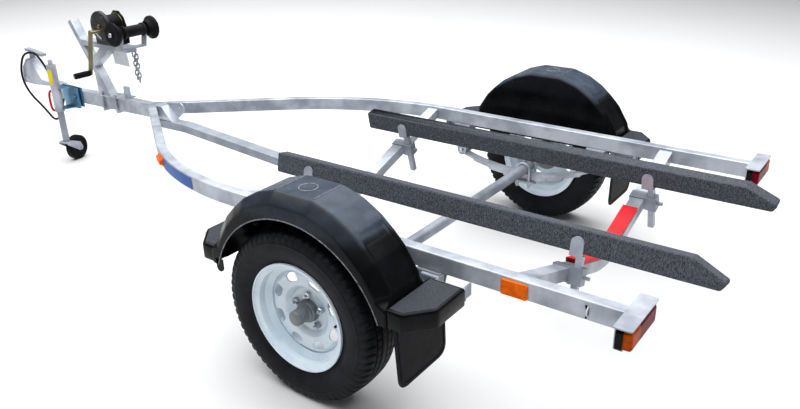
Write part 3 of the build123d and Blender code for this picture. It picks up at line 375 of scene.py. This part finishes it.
# %% [markdown]
# ### Lamp lenses
# A lens is clear coloured plastic with small prisms moulded inside, over a bright
# reflector. Two depths of one colour and a bump of nearly regular cells suggest them, which
# is simpler than real glass and looks the same at this size.
# %% Lens finishes
def lens(name, deep, bright):
    f = Finish(name, bright, 0.36, Specular_IOR_Level=0.035)
    f.colour(f.ramp(f.noise(55.0), deep, bright, (0.25, 0.75)))
    f.bump(f.cells(260.0, 0.15)["Distance"], 0.0008, 0.5)
    finishes[name] = f.material


lens("lens_red", (0.075, 0.001, 0.005), (0.22, 0.003, 0.013))
lens("lens_amber", (0.58, 0.075, 0.003), (0.95, 0.165, 0.006))
lens("lens_amber_deep", (0.24, 0.032, 0.002), (0.52, 0.080, 0.004))
print("three lenses")

# %% [markdown]
# ### Bunk carpet
# Marine carpet is needle-punched: short charcoal fibres with paler ones among them, so
# from near by it looks like pepper and salt. Two noises of different size set the tone,
# drawn out a little along the height as fibres lie, and a strong bump gives the nap.
# %% Carpet finish
f = Finish("carpet", (0.040, 0.041, 0.052), 0.95, Specular_IOR_Level=0.1)
fine, tufts = f.noise(760.0, 4.0, (1, 1, 0.40)), f.noise(300.0, 5.0, (1, 1, 0.34))
fibres = f.ramp(fine, (0.010, 0.011, 0.014), (0.176, 0.190, 0.228), (0.42, 0.66))
spots = f.ramp(tufts, (0.017, 0.018, 0.022), (0.122, 0.130, 0.156), (0.40, 0.62))
f.colour(f.mix(0.5, fibres, spots))
f.bump(tufts, 0.003, 0.6)
f.bump(fine, 0.0015, 0.6)
finishes["carpet"] = f.material
print("carpet")

# %% [markdown]
# ### Finishes on the solids
# Each solid takes the finish its record names. Three look different on the real trailer
# from others of their kind: the winch's frame and cover are painted, and the rear lamps'
# amber is deeper than the reflectors'. The beam under the boat takes the darker dull zinc as
# painted shade, since its side lies in shade.
# %% The solids' finishes
# the centre beam's darker dull zinc is painted shade
own_finish = {
    "winch_frame": "black_steel", "winch_cover": "black_steel",
    "lamp_lenses_amber": "lens_amber_deep", "centre_beam": "galvanised_dull",
}
for name, solid in solids.items():
    solid.data.materials.clear()
    solid.data.materials.append(finishes[own_finish.get(name, slot_of[name])])
print("finishes on", len(solids), "solids")

# %% [markdown]
# ## Making a surface
# A new piece is a few closed surfaces, each a function of two parameters on a grid: round
# the section and along the piece. The helpers give points and faces as arrays in the
# level drawing. Closing a grid at both ends keeps each surface solid, as the real part is.
# %% Grids, profiles and bars
def closed_grid(points, wrap_rows=False):
    """A grid of sections (rows) of ring points (columns), its two end rings filled."""
    rows, columns, _ = points.shape
    faces = grid_faces(rows, columns, wrap_rows, True).tolist()
    if not wrap_rows:
        last = (rows - 1) * columns
        faces += [list(range(columns))[::-1], [last + k for k in range(columns)]]
    return points.reshape(-1, 3), faces


def axes_for(direction):
    """The direction's unit vector, and two more square to it and to each other."""
    d = np.asarray(direction, float) / np.linalg.norm(direction)
    near = np.array((0.0, 0.0, 1.0)) if abs(d[2]) < 0.9 else np.array((1.0, 0.0, 0.0))
    one = np.cross(near, d)
    one /= np.linalg.norm(one)
    return d, one, np.cross(d, one)


def circle(steps, start=0.0):
    """Angles of steps points evenly round a circle."""
    return np.linspace(0, 2 * np.pi, steps, endpoint=False) + start


def turned(profile, centre, axis, steps, start=0.0):
    """p(t, k) = centre + along(k) axis + r(k) (cos t u + sin t v), for (along, r) pairs."""
    d, u, v = axes_for(axis)
    t = circle(steps, start)[:, None]
    pairs = np.asarray(profile, float)
    pairs[:, 1] = np.maximum(pairs[:, 1], 0.02)  # no two points on the axis are the same
    ring = np.cos(t) * u + np.sin(t) * v
    rows = pairs[:, 0, None, None] * d + pairs[:, 1, None, None] * ring
    return closed_grid(rows + np.asarray(centre, float))


def bar(outline, origin, across_way, up_way, depth):
    """An outline of (a, b) pairs at origin + a across + b up, carried depth along its normal."""
    a, b = np.asarray(across_way, float), np.asarray(up_way, float)
    a, b = a / np.linalg.norm(a), b / np.linalg.norm(b)
    flat = np.asarray(outline, float)
    ring = flat[:, :1] * a + flat[:, 1:] * b + np.asarray(origin, float)
    return closed_grid(np.stack([ring, ring + depth * np.cross(a, b)]))


prism = turned(((0, 5), (4, 5)), (0, 0, 0), (1, 0, 0), 6)
print("six steps round two pairs give", len(prism[1]), "faces")

# %% [markdown]
# A round bar that follows a path, such as a beaded edge, is a ring carried along it. Each
# ring stands square to the path, in axes taken from the path's flattest direction.
# %% Round bars
def hose(path, radius, steps=8, closed=False):
    """Rings of one radius square to a path of points, which may close on itself."""
    p = np.asarray(path, float)
    ahead = np.roll(p, -1, 0) - np.roll(p, 1, 0)
    if not closed:
        ahead[0], ahead[-1] = p[1] - p[0], p[-1] - p[-2]
    ahead /= np.linalg.norm(ahead, axis=1)[:, None]
    flattest = np.linalg.svd(p - p.mean(0))[2][2]
    u = np.cross(ahead, flattest)
    u /= np.linalg.norm(u, axis=1)[:, None]
    v = np.cross(ahead, u)
    t = circle(steps)[None, :, None]
    ring = np.cos(t) * u[:, None] + np.sin(t) * v[:, None]
    return closed_grid(p[:, None] + radius * ring, closed)


print("round bars ready")

# %% [markdown]
# One function then joins a piece's surfaces, parks them and puts them in a mesh. Normals
# are worked out again there, so every face points outwards. An edge that turns sharply
# stays crisp, and a bevel of a millimetre or so rounds what a mould would have rounded.
# %% Making a piece
def bevelled(piece, name, width, segments, angle):
    """A live bevel, width in mm, on the edges that turn more than the angle in degrees."""
    edge = piece.modifiers.new(name, "BEVEL")
    edge.width, edge.segments, edge.limit_method = width / 1000, segments, "ANGLE"
    edge.angle_limit = math.radians(angle)


def make(name, shapes, finish, body="chassis", bevel=0.0, smooth=35.0):
    """Join closed surfaces (level drawing, mm), park them, face them outwards, finish them."""
    starts = np.cumsum([0] + [len(p) for p, _ in shapes])
    points = parked(np.concatenate([p for p, _ in shapes]))
    faces = [[k + start for k in face] for start, (_, fs) in zip(starts, shapes) for face in fs]
    mesh = bpy.data.meshes.new(name)
    mesh.from_pydata(points.tolist(), [], faces)
    work = bmesh.new()
    work.from_mesh(mesh)
    bmesh.ops.recalc_face_normals(work, faces=work.faces)
    work.to_mesh(mesh)
    work.free()
    mesh.shade_smooth()
    mesh.set_sharp_from_angle(angle=math.radians(smooth))
    mesh.materials.append(finishes[finish])
    piece = add_object(name, mesh)
    if bevel:
        bevelled(piece, "edge", bevel, 2, 40)
    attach(piece, body)
    print(name, len(mesh.vertices), "points on", body)
    return piece


print("maker ready")

# %% [markdown]
# ## Mudguards
# A guard is one sheet of black plastic, softened and drawn over a mould, so every crease
# has a radius and the sheet has one thickness. Its shape is a section carried round an
# outline: from the arch's edge up the outer side, over a wide chamfer, across the top and
# down inside. Corners are softened first along the outline and then across it.
# %% Softened corners and even steps
def soften(points, cut, steps=4):
    """Each inner corner C becomes (1-t)^2 P + 2t(1-t) C + t^2 Q, from cut mm before to after."""
    p = np.asarray(points, float)
    corner = p[..., 1:-1, :]

    def toward(other):
        way = other - corner
        gap = np.maximum(np.linalg.norm(way, axis=-1, keepdims=True), 1e-6)
        return corner + way / gap * np.minimum(cut, gap * 0.45)

    start, end = toward(p[..., :-2, :])[..., None, :], toward(p[..., 2:, :])[..., None, :]
    t = np.linspace(0, 1, steps)[:, None]
    arc = (1 - t) ** 2 * start + 2 * t * (1 - t) * corner[..., None, :] + t**2 * end
    arc = arc.reshape(*p.shape[:-2], -1, p.shape[-1])
    return np.concatenate([p[..., :1, :], arc, p[..., -1:, :]], -2)


def soft_ring(points, cut, steps=4):
    """A closed outline with every corner softened."""
    p = np.asarray(points, float)
    return soften(np.concatenate([p[-1:], p, p[:1]]), cut, steps)[1:-1]


def rise(value, low, high):
    """0 below low, 1 above high, and 3t^2 - 2t^3 between them."""
    t = np.clip((value - low) / (high - low), 0, 1)
    return t * t * (3 - 2 * t)


def even(path, count):
    """A path of points laid out again at equal steps along its length."""
    p = np.asarray(path, float)
    run = np.concatenate([[0], np.cumsum(np.linalg.norm(np.diff(p, axis=0), axis=1))])
    at = np.linspace(0, run[-1], count)
    return np.stack([np.interp(at, run, p[:, k]) for k in range(p.shape[1])], -1)


square = ((0, 0), (9, 0), (9, 9), (0, 9))
print("a square with soft corners has", len(soft_ring(square, 2)), "points")

# %% [markdown]
# A real sheet has two faces and an edge. The second face is the first one moved along its
# normals by the sheet's thickness, and a band of faces joins the two round the rim. The
# right-hand pieces are the left-hand ones with y turned over.
# %% Sheets and mirrored pieces
def sheet(points, depth):
    """A grid of points and its copy depth mm along the normals, joined round the rim."""
    n = np.cross(np.gradient(points, axis=0), np.gradient(points, axis=1))
    n /= np.maximum(np.linalg.norm(n, axis=-1, keepdims=True), 1e-9)
    rows, columns, _ = points.shape
    index = np.arange(rows * columns).reshape(rows, columns)
    rim = np.concatenate([index[0, :-1], index[:-1, -1], index[-1, :0:-1], index[:0:-1, 0]])
    after, copy = np.roll(rim, -1), rows * columns
    top = grid_faces(rows, columns)
    band = np.stack([rim, rim + copy, after + copy, after], -1)
    faces = np.concatenate([top, top[:, ::-1] + copy, band])
    return np.stack([points, points + depth * n]).reshape(-1, 3), faces.tolist()


def mirrored(shapes):
    return [(p * (1, -1, 1), fs) for p, fs in shapes]


sides = (("left", 1, lambda shapes: shapes), ("right", -1, mirrored))
print("sheets ready")

# %% [markdown]
# ### The shell
# The outline is eight corners from the top's middle to the foot, and their mirror image.
# Each section starts on the arch round the wheel, 334 mm from the axle on the line to the
# outline, and its chamfers fade out towards the foot. The lower half of each slope sinks
# 7 mm, as a smooth step of height and of width: a shallow panel pressed into each end.
# %% Mudguard shell
WHEEL_Y, GUARD_X = 817.0, -16.0
GUARD_OUT, GUARD_IN, GUARD_FOOT, ARCH_R = 905, 715, 395, 334
SHELL_T, PANEL_SINK = 3.5, 7
TOP_LINES = (863, 853, 748, 738)  # along the flat top, a pair at each of its edges
guard_half = (
    (70, 695), (145, 672), (206, 637), (251, 598), (290, 558), (335, 487), (344, 450),
    (344, GUARD_FOOT),
)
outline = list(guard_half[::-1]) + [(-x, z) for x, z in guard_half]
px, pz = even(soften(outline, 9.0, 6), 280).T
tx, tz = np.gradient(px), np.gradient(pz)
nx, nz = -tz / np.hypot(tx, tz), tx / np.hypot(tx, tz)  # towards the wheel
fade = rise(pz, 436, 474)
outer, inner = 2.5 + 29.5 * fade, 2.0 + 14.0 * fade
reach = np.hypot(px, pz - AXLE_Z)
arch_z = np.maximum(AXLE_Z + (pz - AXLE_Z) / reach * ARCH_R, GUARD_FOOT)
arch_x = np.sign(px) * np.sqrt(ARCH_R**2 - (arch_z - AXLE_Z) ** 2)


def points_of(x, y, z):
    """Points from arrays or plain numbers, spread out to one common shape."""
    return np.stack(np.broadcast_arrays(x, y, z), -1)


shell = soften(np.stack([
    points_of(arch_x, GUARD_OUT, arch_z),
    points_of(px + nx * outer, GUARD_OUT, pz + nz * outer),
    points_of(px, GUARD_OUT - outer, pz),
    *[points_of(px, y, pz) for y in TOP_LINES],
    points_of(px, GUARD_IN + inner, pz),
    points_of(px + nx * inner, GUARD_IN, pz + nz * inner),
    points_of(px + nx * inner, GUARD_IN, GUARD_FOOT),
], 1), 6.5, 4)
across_y = shell[..., 1]
panel_top = 608 + (860 - across_y) * 0.18  # its upper edge climbs a little inwards
sink = rise(panel_top - shell[..., 2], 0, 9)
sink = PANEL_SINK * sink * rise(862 - across_y, 0, 8) * rise(across_y - 736, 0, 9)
shell[..., 0] += sink * nx[:, None] + GUARD_X
shell[..., 2] += sink * nz[:, None]
lip = points_of(arch_x + GUARD_X, GUARD_OUT + 0.2, arch_z)
moved_on = np.linalg.norm(np.diff(lip, axis=0), axis=1) > 1e-6
lip = lip[np.append(True, moved_on)]  # at each foot the arch's last points are one point
print("guard shell,", shell.shape[0], "sections of", shell.shape[1], "points")


# %% [markdown]
# ### The steps
# At each end a step plate stands on the guard, with a rough patch to tread on. It is one
# cornered outline repeated at rising levels, each set in by a little, so its foot is a
# folded edge and its top is soft. The patch is the same outline set in by 11 mm.
# %% Mudguard steps
def step_box(way):
    """Rings of one cornered outline, inset and raised: inside, foot, wall, soft top."""
    corners = ((336, 682), (460, 682), (460, 823), (393, 900), (336, 900))
    ring = soft_ring([(GUARD_X + way * x, y) for x, y in corners], 9.0, 5)
    edge = np.roll(ring, -1, 0) - np.roll(ring, 1, 0)
    edge /= np.linalg.norm(edge, axis=1)[:, None]
    inward = way * np.stack([-edge[:, 1], edge[:, 0]], -1)
    levels = (
        (4, 446), (4, 397), (3, GUARD_FOOT), (1, GUARD_FOOT), (0, 397), (0, 438), (1, 444),
        (3.5, 448.5), (8, 450),
    )
    rings = [points_of(*(ring + inset * inward).T, z) for inset, z in levels]
    return closed_grid(np.stack(rings)), ring + 11 * inward


(front_step, front_top), (rear_step, rear_top) = step_box(1), step_box(-1)
grip_shapes = [
    closed_grid(np.stack([points_of(*top.T, z) for z in (449.0, 450.7)]))
    for top in (front_top, rear_top)
]
half_round = [(15 * math.cos(a), 15 * math.sin(a)) for a in np.linspace(0, -np.pi, 9)]
lug = bar([(-15, 30), (15, 30)] + half_round, (297, GUARD_OUT, 385), (1, 0, 0), (0, 0, 1), 4.0)
print("two steps, their grips and the lug by the front one")

# %% [markdown]
# ### Worn edges and painted highlights
# Plastic turns pale where it is creased or rubbed: on the rolled lip round the arch, on a
# plain pressed ring on top, and on two creases across it. Thin pale round bars laid half into
# the shell stand partly for this wear and partly for painted highlights along these edges.
# Then both guards are made.
# %% Mudguards
TOP_Z = 694.9
t = circle(48)
pressed_ring = points_of(GUARD_X + 28 * np.cos(t), 803 + 28 * np.sin(t), TOP_Z)
crease_y = (742, 780, 820, 860)
# pale bars: wear, and painted highlights along the lip, the ring and the creases
mark_shapes = [hose(lip, 2.0), hose(pressed_ring, 2.2, closed=True)] + [
    hose([(GUARD_X + way * 70, y, TOP_Z - 0.3) for y in crease_y], 1.4) for way in (1, -1)
]
guard_shapes = [sheet(shell, -SHELL_T), front_step, rear_step, lug]
for side, _, turn_over in sides:
    guard_piece = make("guard_" + side, turn_over(guard_shapes), "black_plastic", smooth=50)
    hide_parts("mudguard_" + side)
    make("step_grip_" + side, turn_over(grip_shapes), "grip", smooth=40)
    make("guard_lip_" + side, turn_over(mark_shapes), "pale_wear_and_highlight", smooth=60)

# %% [markdown]
# ## Mudflaps
# A flap is a sheet of rubber hung under each rear step, with wide round lower corners and a
# raised border that stiffens its edge. The corners are softened over 42 mm, and the border
# is a thin round bar along the same outline, set in.
# %% Mudflaps
FLAP_X = -384.0
flap_edge = soften(((900, 395), (880, 178), (640, 178), (650, 395)), 42, 10)
border = soften(((887, 390), (868, 190), (652, 190), (661, 390)), 34, 10)
flap_shapes = [
    bar(flap_edge, (FLAP_X, 0, 0), (0, 1, 0), (0, 0, 1), 5.0),
    hose(points_of(FLAP_X - 0.2, *border.T), 1.8),
]
flaps = make("mudflap_sheets", flap_shapes + mirrored(flap_shapes), "black_rubber", bevel=0.8)
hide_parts("mudflaps")

# %% [markdown]
# ## Bunks
# Carpet is pulled round a board and stapled underneath, so no edge of a bunk is sharp. Each
# takes a copy of the solid's own faces, its loose triangles merged and the flat ones
# joined, and rounds every edge by 6 mm.
# %% Bunks
for side, _, _ in sides:
    board = solids["bunk_" + side]
    wrapped = board.data.copy()
    wrapped.transform(board.matrix_world)
    work = bmesh.new()
    work.from_mesh(wrapped)
    bmesh.ops.remove_doubles(work, verts=work.verts, dist=1e-5)
    flat = math.radians(1)
    bmesh.ops.dissolve_limit(work, angle_limit=flat, verts=work.verts, edges=work.edges)
    work.to_mesh(wrapped)
    work.free()
    wrapped.shade_smooth()
    bunk = add_object("carpeted_bunk_" + side, wrapped)
    bevelled(bunk, "fold", 6, 3, 25)
    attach(bunk, "chassis")
    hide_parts("bunk_" + side)
    print(bunk.name, len(wrapped.polygons), "faces before the edges are rounded")

# %% [markdown]
# ## Tyres
# A tyre is a profile turned about its axle: bead, bulging wall, rounded shoulder and a
# nearly flat tread, then back down inside. Half the outside is written down and mirrored.
# %% Tyre profile
half_outside = np.array((
    (57, 165), (60, 176), (64.5, 187), (71, 200), (75.2, 210), (75.8, 212), (77.6, 220),
    (79.6, 231), (80, 240), (79.4, 247), (80, 249), (79.2, 251), (77.5, 257), (76.6, 263),
    (74.5, 270), (71, 276), (65, 280.5), (56, 284), (48, 285.6), (43, 286.3), (39.2, 286.7),
    (38, 286.8), (32, 287.2), (30.8, 287.3), (24, 287.9), (17.2, 288.3), (16, 288.4),
    (10, 288.7), (8.8, 288.8), (0, 289),
))
outside = np.concatenate([half_outside, half_outside[-2::-1] * (-1, 1)])
half_inside = np.array((
    (-40, 165), (-50, 187), (-62, 205), (-68, 231), (-66, 248), (-58, 257), (-30, 271), (0, 275),
))
inside = np.concatenate([half_inside, half_inside[-2::-1] * (-1, 1)])
profile = np.concatenate([outside, inside])
print("tyre profile of", len(profile), "points")

# %% [markdown]
# The tread is then cut. Four grooves run right round, slots across both shoulders part the
# blocks, and shorter, shallower cuts lie between the grooves. In numbers, a point keeps its
# radius less the deepest cut it lies in. Going round, each of 64 blocks has six steps: a
# slot takes the first two of them, and a short cut takes the fifth.
# %% Tyres
BLOCKS, STEPS = 64, 6
GROOVE_DEEP, SLOT_DEEP, SHORT_DEEP = 6.5, 5.0, 2.6
grooves_at = ((9.5, 15.9), (31.5, 37.9))
width, radius = np.abs(profile[:, 0]), profile[:, 1]
on_tread = np.arange(len(profile)) < len(outside)
groove = GROOVE_DEEP * on_tread * np.any([(width > a) & (width < b) for a, b in grooves_at], 0)
slot = SLOT_DEEP * on_tread * rise(width, 41, 46) * rise(radius, 250, 262)
short = SHORT_DEEP * on_tread * ((width > 16.5) & (width < 31.5))
step = np.arange(BLOCKS * STEPS)[:, None]
t = step / len(step) * 2 * np.pi
cut = np.maximum((step % STEPS < 2) * slot, (step % STEPS == 4) * short)
rolled = radius - np.maximum(groove, cut)
for side, way, _ in sides:
    rings = points_of(
        rolled * np.cos(t), way * (WHEEL_Y + profile[:, 0]), AXLE_Z + rolled * np.sin(t))
    tyre = make("tyre_" + side + "_tread", [closed_grid(rings, True)], "tyre",
                "wheel_" + side, smooth=32)
    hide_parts("tyre_" + side)

# %% [markdown]
# ## Hubs and wheel nuts
# The hub is a casting with a long ringed cap over its bearings. Five bright nuts with
# chamfered corners hold the wheel, each with the end of its stud standing out of it.
# Everything is turned from a profile of (along, radius) pairs: six sides make a nut, many
# make a stud.
# %% Profiles of a hub, a nut, a stud and a valve
STUD_CIRCLE_R, VALVE_R, VALVE_ANGLE = 54, 136, 3.1
hub_profile = (
    (30, 0), (30, 15.1), (-66, 15.1), (-66, 28), (-64, 30), (-14, 37), (-12, 39), (-12, 66),
    (-10, 68), (-1, 68), (0, 66), (0, 29.6), (4.3, 29.6), (4.3, 37), (6, 38), (22, 36.5),
    (25, 34), (26, 31.5), (31, 31.5), (32, 28), (34, 25.5), (44, 25.3), (45, 23.6), (48, 23.6),
    (49, 25.1), (56, 24.9), (57, 23.3), (60, 23.3), (61, 24.8), (70, 24.5), (74, 22), (77, 17),
    (78, 10), (78, 0),
)
nut_profile = ((1, 0), (1, 9), (5, 11.8), (16, 11.8), (19, 9.4), (19, 0))
stud_profile = ((16, 0), (16, 5.4), (25, 5.4), (26.5, 4), (26.5, 0))
valve_profile = ((8, 0), (8, 6), (12, 6), (16, 4.2), (44, 4.2), (46, 3), (46, 0))
print("a hub", np.ptp([along for along, _ in hub_profile]), "mm long")

# %% [markdown]
# On each side the studs stand on a circle of 54 mm radius, 72 degrees apart from the top
# one, and the valve comes through the rim at 136 mm.
# %% Hubs, nuts and valves
def on_wheel(way, r, angle):
    """A point of a wheel's face, way 1 for the left one, at radius r and an angle."""
    return np.array((r * math.cos(angle), way * WHEEL_Y, AXLE_Z + r * math.sin(angle)))


for side, way, _ in sides:
    outwards, wheel = (0, way, 0), "wheel_" + side
    casting = turned(hub_profile, on_wheel(way, 0, 0), outwards, 40)
    hub = make("hub_" + side + "_cast", [casting], "cast_hub", wheel, smooth=30)
    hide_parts("hub_" + side)
    nuts = []
    for angle in np.radians(90 + 72 * np.arange(5)):
        stud_place = on_wheel(way, STUD_CIRCLE_R, angle)
        nuts += [turned(nut_profile, stud_place, outwards, 6, angle),
                 turned(stud_profile, stud_place, outwards, 14)]
    make("wheel_nuts_" + side, nuts, "bright_zinc", wheel, smooth=25)
    valve = turned(valve_profile, on_wheel(way, VALVE_R, VALVE_ANGLE), outwards, 14)
    make("valve_" + side, [valve], "black_rubber", wheel, smooth=30)

# %% [markdown]
# ## Bolts
# Zinc-plated hexagon bolts hold the springs and the winch post. A head is a profile turned
# in six steps, over a washer turned in many. The post's nuts show the end of a thread too.
# %% Bolts
RAIL_TOP, BEND_X, DROOP = 501, 485, math.tan(math.radians(1.5))
SPRING_EYES, HANGER_OUT, HANGER_IN = ((322, 318), (-322, 356)), 649, 591
POST_NUTS_X, POST_NUT_Y, POST_FOOT = (2056, 2170), 34, 6


def bolt(place, axis, across, head, thread=0.0):
    """A washer, a head across mm wide and head mm high, and a thread's end above it."""
    r = across / 2 / math.cos(math.pi / 6)
    rim, top = r * 0.86, head + 1.6
    shapes = [
        turned(((0, 0), (0, r * 1.25), (1.6, r * 1.25), (2, r * 1.2), (2, 0)), place, axis, 20),
        turned(((2, 0), (2, r), (head, r), (top, rim), (top, 0)), place, axis, 6),
    ]
    if thread:
        end = head + thread
        stub = ((head, 0), (head, r * 0.5), (end, r * 0.5), (end + 1, r * 0.4), (end + 1, 0))
        shapes.append(turned(stub, place, axis, 14))
    return shapes


def deck(x):
    """Top of the frame: level, then drooping 1.5 degrees past the start of the bends."""
    return RAIL_TOP - DROOP * np.maximum(0.0, x - BEND_X)


spring_bolts, post_nuts = [], []
for way in (1, -1):
    for x, z in SPRING_EYES:
        spring_bolts += bolt((x, way * HANGER_OUT, z), (0, way, 0), 17, 8)
        spring_bolts += bolt((x, way * HANGER_IN, z), (0, -way, 0), 17, 8)
    for x in POST_NUTS_X:
        post_nuts += bolt((x, way * POST_NUT_Y, deck(x) + POST_FOOT), (0.02, 0, 1), 15, 9, 6)
make("spring_bolts", spring_bolts, "bright_zinc", smooth=25)
make("post_nuts", post_nuts, "bright_zinc", smooth=25)

# %% [markdown]
# ## Winch and roller fittings
# On the winch's side a pressed lever holds the ratchet, and a domed cap with four screws
# closes the gears. The strap lies on the drum in layers, so its edge profile is wavy:
# r = 48 + cos(1.9 y) / 2. The roller's spindle has a domed end on each side.
# %% Winch and roller fittings
DRUM_X, DRUM_Z, COVER_Y, SCREWS_R = 2034, 838, 64, 60
ROLLER_X, ROLLER_Z, SPINDLE_HALF = 1858, 822, 125
dome = ((0, 0), (0, 11), (5, 11), (8, 9), (10, 5), (10.5, 0))
pawl_edge = ((-37, -5), (33, -5), (37, 0), (33, 5), (-37, 5))
pawl_pin = ((0, 0), (0, 7), (6, 7), (8, 5), (8, 0))
make("winch_pawl", [
    bar(pawl_edge, (2055, 70.5, 797), (-59, 0, -40), (40, 0, -59), 4.0),
    turned(pawl_pin, (2085, 70, 817), (0, 1, 0), 16),
], "bright_zinc", smooth=30)
screw = ((0, 0), (0, 5), (2.5, 4.5), (3.5, 0))
screw_places = [
    (DRUM_X + SCREWS_R * math.cos(a), COVER_Y + 0.5, DRUM_Z + SCREWS_R * math.sin(a))
    for a in (0.6, 2.2, 3.8, 5.2)
]
screws = [turned(screw, place, (0, 1, 0), 12) for place in screw_places]
cap = turned(dome, (DRUM_X, COVER_Y, DRUM_Z), (0, 1, 0), 18)
make("cover_screws", [cap] + screws, "zinc_gold", smooth=30)
along = np.linspace(-30, 30, 31)
layers = 48 + 0.5 * np.cos(along * 1.9)
strap = [(-31, 31)] + list(zip(along, layers)) + [(31, 31)]
make("wound_strap", [turned(strap, (DRUM_X, 0, DRUM_Z), (0, 1, 0), 40)],
     "black_rubber", "drum", smooth=40)
make("roller_ends", [
    turned(dome, (ROLLER_X, way * SPINDLE_HALF, ROLLER_Z), (0, way, 0), 18) for way in (1, -1)
], "bright_zinc", "roller", smooth=40)

# %% [markdown]
# ## Cable clip
# A white hook on the left rail's side, near its rear end, holds a few centimetres of the
# lamps' wire where it comes out of the tube. Both are round bars along a short curve: the
# hook is part of an oval, and the wire bows a little.
# %% Cable clip
t = np.linspace(-0.15, np.pi + 0.15, 14)
hook = points_of(-819.0, 640.5 + 9 * np.sin(t), 470 + 13 * np.cos(t))
make("cable_clip", [hose(hook, 1.9)], "card", smooth=60)
tail = points_of(-816 - 3 * np.sin(t * 1.3), 643.5, np.linspace(451, 489, 14))
make("cable_clip_wire", [hose(tail, 2.6)], "black_rubber", smooth=60)

# %% [markdown]
# ## Pull ring
# The lock pin of the jockey wheel is drawn by a moulded red ring, an oval bar that a finger
# fits through. Its middle line is y = 17 cos t and z = 56 sin t about its centre, with the
# powers 0.7 and 0.9 on the cosine and sine to square the oval a little.
# %% Pull ring
def power(wave, p):
    """A wave raised to a power, with its sign kept."""
    return np.sign(wave) * np.abs(wave) ** p


RING_X, RING_Y, RING_Z = 2536.0, 105, 392
t = circle(56)
oval = points_of(
    RING_X, RING_Y + 17 * power(np.cos(t), 0.7), RING_Z + 56 * power(np.sin(t), 0.9))
oval = even(np.concatenate([oval, oval[:1]]), 57)[:-1]
pull_ring = make("pull_ring", [hose(oval, 6.2, 12, True)], "red_plastic", "jockey_arm", smooth=60)
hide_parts("jockey_pull")

# %% [markdown]
# ## Labels and marker
# A vinyl label is too thin to model as a plate, so each is a sheet four tenths of a
# millimetre thick that follows the metal under it: a plain blue strip along the left bend
# and a plain yellow one round part of the jockey wheel's tube. The bend is an arc seen from
# above, so the strip is x = r sin a, y = r cos a about the arc's middle. A small white
# marker stands on the front step's end, towards the coupling.
# %% Labels and marker
RAIL_Y, RAIL_HALF, BEND_R, JOCKEY_X, JOCKEY_Y, JOCKEY_R = 620, 20, 1315, 2498, 97, 25
theta = np.radians(np.linspace(12.1, 25.2, 40))[:, None]
drop = np.linspace(-5.5, -52.5, 8)[None, :]
r = BEND_R + RAIL_HALF + 0.2
x = BEND_X + r * np.sin(theta)
strip = points_of(x, RAIL_Y - BEND_R + r * np.cos(theta), deck(x) + drop)
make("blue_label", [sheet(strip, 0.4)], "blue_vinyl", smooth=50)
theta = np.radians(np.linspace(66, 142, 24))[:, None]
height = np.linspace(490, 574, 6)[None, :]
r = JOCKEY_R + 0.1
wrap = points_of(JOCKEY_X + r * np.cos(theta), JOCKEY_Y + r * np.sin(theta), height)
make("yellow_label", [sheet(wrap, 0.4)], "yellow_vinyl", "jockey_arm", smooth=50)
marker = ((-25, 0), (25, 0), (25, 36), (22, 39), (-22, 39), (-25, 36))
make("white_marker", [bar(marker, (444.5, 796, 399), (0, -1, 0), (0, 0, 1), -13)], "card",
     bevel=1.5)

# %% [markdown]
# ## Cable
# A black wiring cable leaves the drawbar's side, loops over the coupling and comes back
# up under the drawbar. It is one free cord, so it is a smooth curve through the same few
# points as its solid, and the curve's own smoothing rounds every turn.
# %% Cable
cable_route = (
    (2600, 40, 470), (2690, 44, 612), (2792, 40, 622), (2886, 40, 590), (2946, 40, 468),
    (2900, 40, 372), (2757, 40, 296), (2672, 36, 226), (2612, 20, 300), (2596, 6, 372),
)
cable_curve = bpy.data.curves.new("wiring_cable", "CURVE")
cable_curve.dimensions = "3D"
run = cable_curve.splines.new("NURBS")
run.points.add(len(cable_route) - 1)
for knot, place in zip(run.points, parked(cable_route)):
    knot.co = (*place, 1.0)
run.order_u = 3
run.use_endpoint_u = True
cable_curve.bevel_depth = 0.006
cable_curve.bevel_resolution = 4
cable_curve.resolution_u = 16
cable_curve.materials.append(finishes["black_rubber"])
cable = add_object("wiring_cable", cable_curve)
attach(cable, "chassis")
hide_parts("cable")
print("cable through", len(cable_route), "points")
